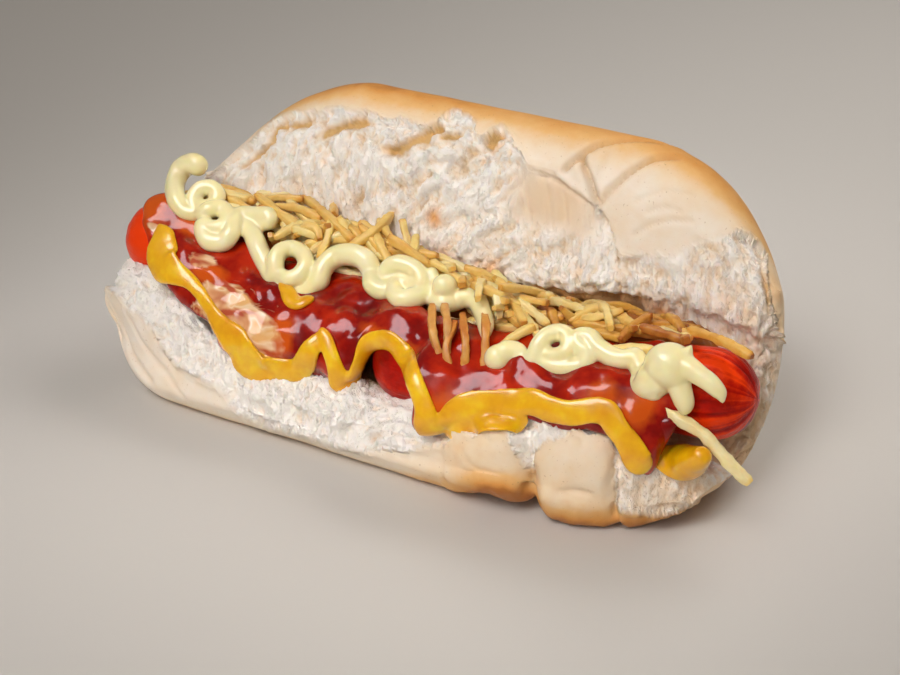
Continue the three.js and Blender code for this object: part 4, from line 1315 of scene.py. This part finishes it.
def straw_tree(material):
    """Geometry Nodes that sweep a rough, uneven square section along every line, each fried differently."""
    tree, given = empty_tree("straws", ("Width", "Palest", "Brownest", "Sauce"))
    cut = {"Curve": given["Carrier"], "Length": 1.1 * MM}
    marked = node(tree, "GeometryNodeResampleCurve", {"mode": "LENGTH"}, cut)
    index = node(tree, "GeometryNodeInputIndex").outputs[0]
    shade = {"ID": index, "Seed": given["Seed"], 2: given["Palest"], 3: given["Brownest"]}
    shade = node(tree, "FunctionNodeRandomValue", {"data_type": "FLOAT"}, shade)
    along = node(tree, "GeometryNodeSplineParameter").outputs["Factor"]
    tip = curve_over(tree, along, (0, 1), (0.1, 0.1), (0.5, 0.0), (0.9, 0.1), (1, 1))
    for key, domain, value in (
        ("fried", "CURVE", shade.outputs[1]),
        ("tip", "POINT", tip),
        ("sauced", "CURVE", given["Sauce"]),
    ):
        marked = node(
            tree,
            "GeometryNodeStoreNamedAttribute",
            {"data_type": "FLOAT", "domain": domain},
            {"Geometry": marked.outputs[0], "Name": key, "Value": value},
        )
    taper = curve_over(tree, along, (0, 0.72), (0.03, 0.95), (0.5, 1.0), (0.97, 0.92), (1, 0.66))
    uneven = node(tree, "ShaderNodeTexNoise", inputs={"Scale": 1 / (7 * MM), "Detail": 2.0}).outputs[0]
    swollen = node(tree, "ShaderNodeMapRange", inputs={0: uneven, 1: 0.3, 2: 0.7, 3: 0.72, 4: 1.15})
    thick = times(tree, taper, swollen.outputs[0])
    weighted = {"Curve": marked.outputs[0], "Radius": thick}
    weighted = node(tree, "GeometryNodeSetCurveRadius", inputs=weighted)
    square = {"Width": given["Width"], "Height": given["Width"]}
    square = node(tree, "GeometryNodeCurvePrimitiveQuadrilateral", inputs=square)
    rounded = {"Curve": square.outputs[0], "Count": 2, "Radius": 0.55 * MM}
    rounded = node(tree, "GeometryNodeFilletCurve", {"mode": "POLY"}, rounded)
    swept = node(
        tree,
        "GeometryNodeCurveToMesh",
        inputs={
            "Curve": weighted.outputs[0],
            "Profile Curve": rounded.outputs[0],
            "Scale": thick,
            "Fill Caps": True,
        },
    )
    rough = node(tree, "ShaderNodeTexNoise", inputs={"Scale": 1 / (1.7 * MM), "Detail": 2.0})
    centred = {0: rough.outputs["Color"], 1: (0.5, 0.5, 0.5)}
    centred = node(tree, "ShaderNodeVectorMath", {"operation": "SUBTRACT"}, centred)
    shaken = {"Geometry": swept.outputs[0], "Offset": scaled(tree, centred.outputs[0], 1.15 * MM)}
    return ended(tree, node(tree, "GeometryNodeSetPosition", inputs=shaken), material)


STRAW_TREE = straw_tree(straw_finish)


def straws_along(name, lines, width, palest, brownest, sauce=0.0):
    """One piece of straws, one for each line of places, fried and dipped in sauce this much."""
    curve = bpy.data.curves.new(name, "CURVE")
    curve.dimensions = "3D"
    for line in lines:
        spline = curve.splines.new("POLY")
        points = line_through(line, 6)
        spline.points.add(len(points) - 1)
        spline.points.foreach_set("co", np.column_stack([points * MM, np.ones(len(points))]).ravel())
    sizes = {"Width": width * MM, "Palest": palest, "Brownest": brownest, "Sauce": sauce}
    return grown(name, curve, STRAW_TREE, Seed=STRAW_SEED, **sizes)


core_line = line_through(CORE_ROUTE)
random = np.random.default_rng(STRAW_SEED)
in_the_way = list(zip(surfaces(bread, *franks, mayo), (0.2, 1.0, 1.0, 1.2)))  # how deep each may be sunk into
# Where the heap's top meets the torn face, seen from the right of the mouth: no straw stands above it.
HEAP_TOP = [
    (-95, 12, 44), (-83, 10, 50), (-74, 10, 50), (-63, 10, 54.5), (-48, 9, 55), (-37, 10, 58), (-16, 9.5, 58),
    (-2, 8.5, 52), (8, 8, 49), (18, 8, 44.5), (30, 8.5, 42.5), (36, 10, 42), (49, 9, 44), (60, 10, 44.5),
    (74, 12, 41.5), (83, 11, 42), (91, 12, 38),
]
seen_right = np.array(direction_from(CAMERA_AZIMUTH + 90, 0))
seen_up = np.cross(np.array(direction_from(CAMERA_AZIMUTH, CAMERA_ELEVATION)), seen_right)


def fits(line):
    """Whether a straw's line stays under the heap's top and out of the bread and the sausages."""
    limit = np.interp(np.dot(line, seen_right), np.dot(HEAP_TOP, seen_right), np.dot(HEAP_TOP, seen_up))
    if np.any(np.dot(line, seen_up) > limit):
        return False
    for place in line_through(line, 4):
        for body, deepest in in_the_way:
            near, out, _, distance = body.find_nearest(Vector(place) * MM)
            below = (Vector(place) * MM - near).dot(out)
            if below < (STRAW_WIDTH / 2 - deepest) * MM and distance < NEAR_BODY * MM:
                return False
    return True


# The placed straws, then random ones on the core: a place and a lean, a direction, a length and a bow.
heap_lines = [around(np.array(line, float).T) for line in PLACED_STRAWS]
while len(heap_lines) < len(PLACED_STRAWS) + STRAW_COUNT:
    centre = core_line[int(random.uniform(0.13, 0.97) * (len(core_line) - 1))]
    lean = random.uniform(-0.9, 1.3)
    middle = centre + CORE_RADIUS * random.uniform(0.9, 1.22) * np.array([0, -math.sin(lean), math.cos(lean)])
    turn, rise = random.normal(0, 0.75), random.normal(0, 0.4)
    along = np.array([math.cos(turn), -0.8 * math.sin(turn), rise])
    along *= random.uniform(12, 34) / np.linalg.norm(along)
    bow = np.array([0, random.normal(0, 1.6), random.normal(0.7, 1.6)])
    line = [middle - along / 2, middle - along / 5 + bow, middle + along / 5 + bow, middle + along / 2]
    if fits(line):
        heap_lines.append(line)
loose_lines = heap_lines[DIPPED:]
pale = [line for line in loose_lines if np.mean(line, axis=0)[0] <= BROWNER_PAST]
brown = [line for line in loose_lines if np.mean(line, axis=0)[0] > BROWNER_PAST]
straws = straws_along("fried_straws", pale, STRAW_WIDTH, 0.0, 0.48)
brown_straws = straws_along("browner_straws", brown, STRAW_WIDTH, 0.1, 0.78)
dipped = straws_along("dipped_straws", heap_lines[:DIPPED], STRAW_WIDTH, 0.2, 0.6, 0.95)


def lumpy(share, angle):
    return 0.07 * math.sin(31 * share) + 0 * angle


points, faces, _ = tube(CORE_ROUTE, CORE_RADIUS, CORE_STATIONS, CORE_SIDES, lumpy)
# The packed core gets the brownest colour all over: painted shade for the deep gaps between the straws.
core = piece("straw_core", points, faces, {"fried": np.full(len(points), 1.0)})
at = vectors_of(core, "co")
pushed(core, 1.2 * (billows(at, (4, 2, 2), 3.3) - 0.5))
core.data.materials.append(straw_finish)
loose = straws_along("single_straw", [LOOSE_STRAW], LOOSE_WIDTH, 0.0, 0.05)
heap = [(made, "potato_straws") for made in (straws, brown_straws, dipped, core)]
for made, replaced in (*heap, (loose, "straw_loose")):
    placed(made, vectors_of(made, "co"))
    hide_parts(replaced)
    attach(made, "root")

# ------------------------------------------------------------------ floor and light
# A plain pale table and soft boxes: one with a narrow beam high in front, a wide weak one low in front,
# one behind for the skin's edge, and one that only glints in the sauces.
floor_mesh = bpy.data.meshes.new("table")
floor_mesh.from_pydata([(-3, -3, 0), (3, -3, 0), (3, 3, 0), (-3, 3, 0)], [], [(0, 1, 2, 3)])
table = new_object("table", floor_mesh)
table.location.z = -0.0002
table_finish, tree, shader = finish_named("table", Roughness=0.7)
shader.inputs["Base Color"].default_value = (0.62, 0.60, 0.57, 1)
table.data.materials.append(table_finish)

LIT_PLACE = (0, 0, 26)
for name, azimuth, elevation, distance, width, height, watts, spread, colour in (
    ("key light", 0, 50, 420, 0.3, 0.3, 0.198, 42, (1.0, 0.96, 0.93)),
    ("front light", 10, 18, 1100, 1.0, 0.8, 2.5, 180, (1.0, 0.93, 0.86)),
    ("back light", 158, 48, 800, 0.6, 0.3, 3.3, 180, (1.0, 0.96, 0.92)),
    ("gleam", -34, 60, 650, 0.42, 0.25, 2.4, 180, (0.97, 0.96, 1.0)),
):
    softbox = bpy.data.lights.new(name, "AREA")
    softbox.shape = "RECTANGLE"
    softbox.size, softbox.size_y = width, height
    softbox.energy = watts
    softbox.color = colour
    softbox.spread = math.radians(spread)
    stand = aimed(name, softbox, azimuth, elevation, distance, LIT_PLACE)
    stand.visible_glossy = name == "gleam"
    stand.visible_diffuse = name != "gleam"

world = bpy.data.worlds.new("studio")
world.use_nodes = True
world.node_tree.nodes["Background"].inputs["Color"].default_value = (1.0, 0.89, 0.78, 1)
world.node_tree.nodes["Background"].inputs["Strength"].default_value = 0.15
bpy.context.scene.world = world
bpy.context.scene.view_settings.view_transform = "Standard"
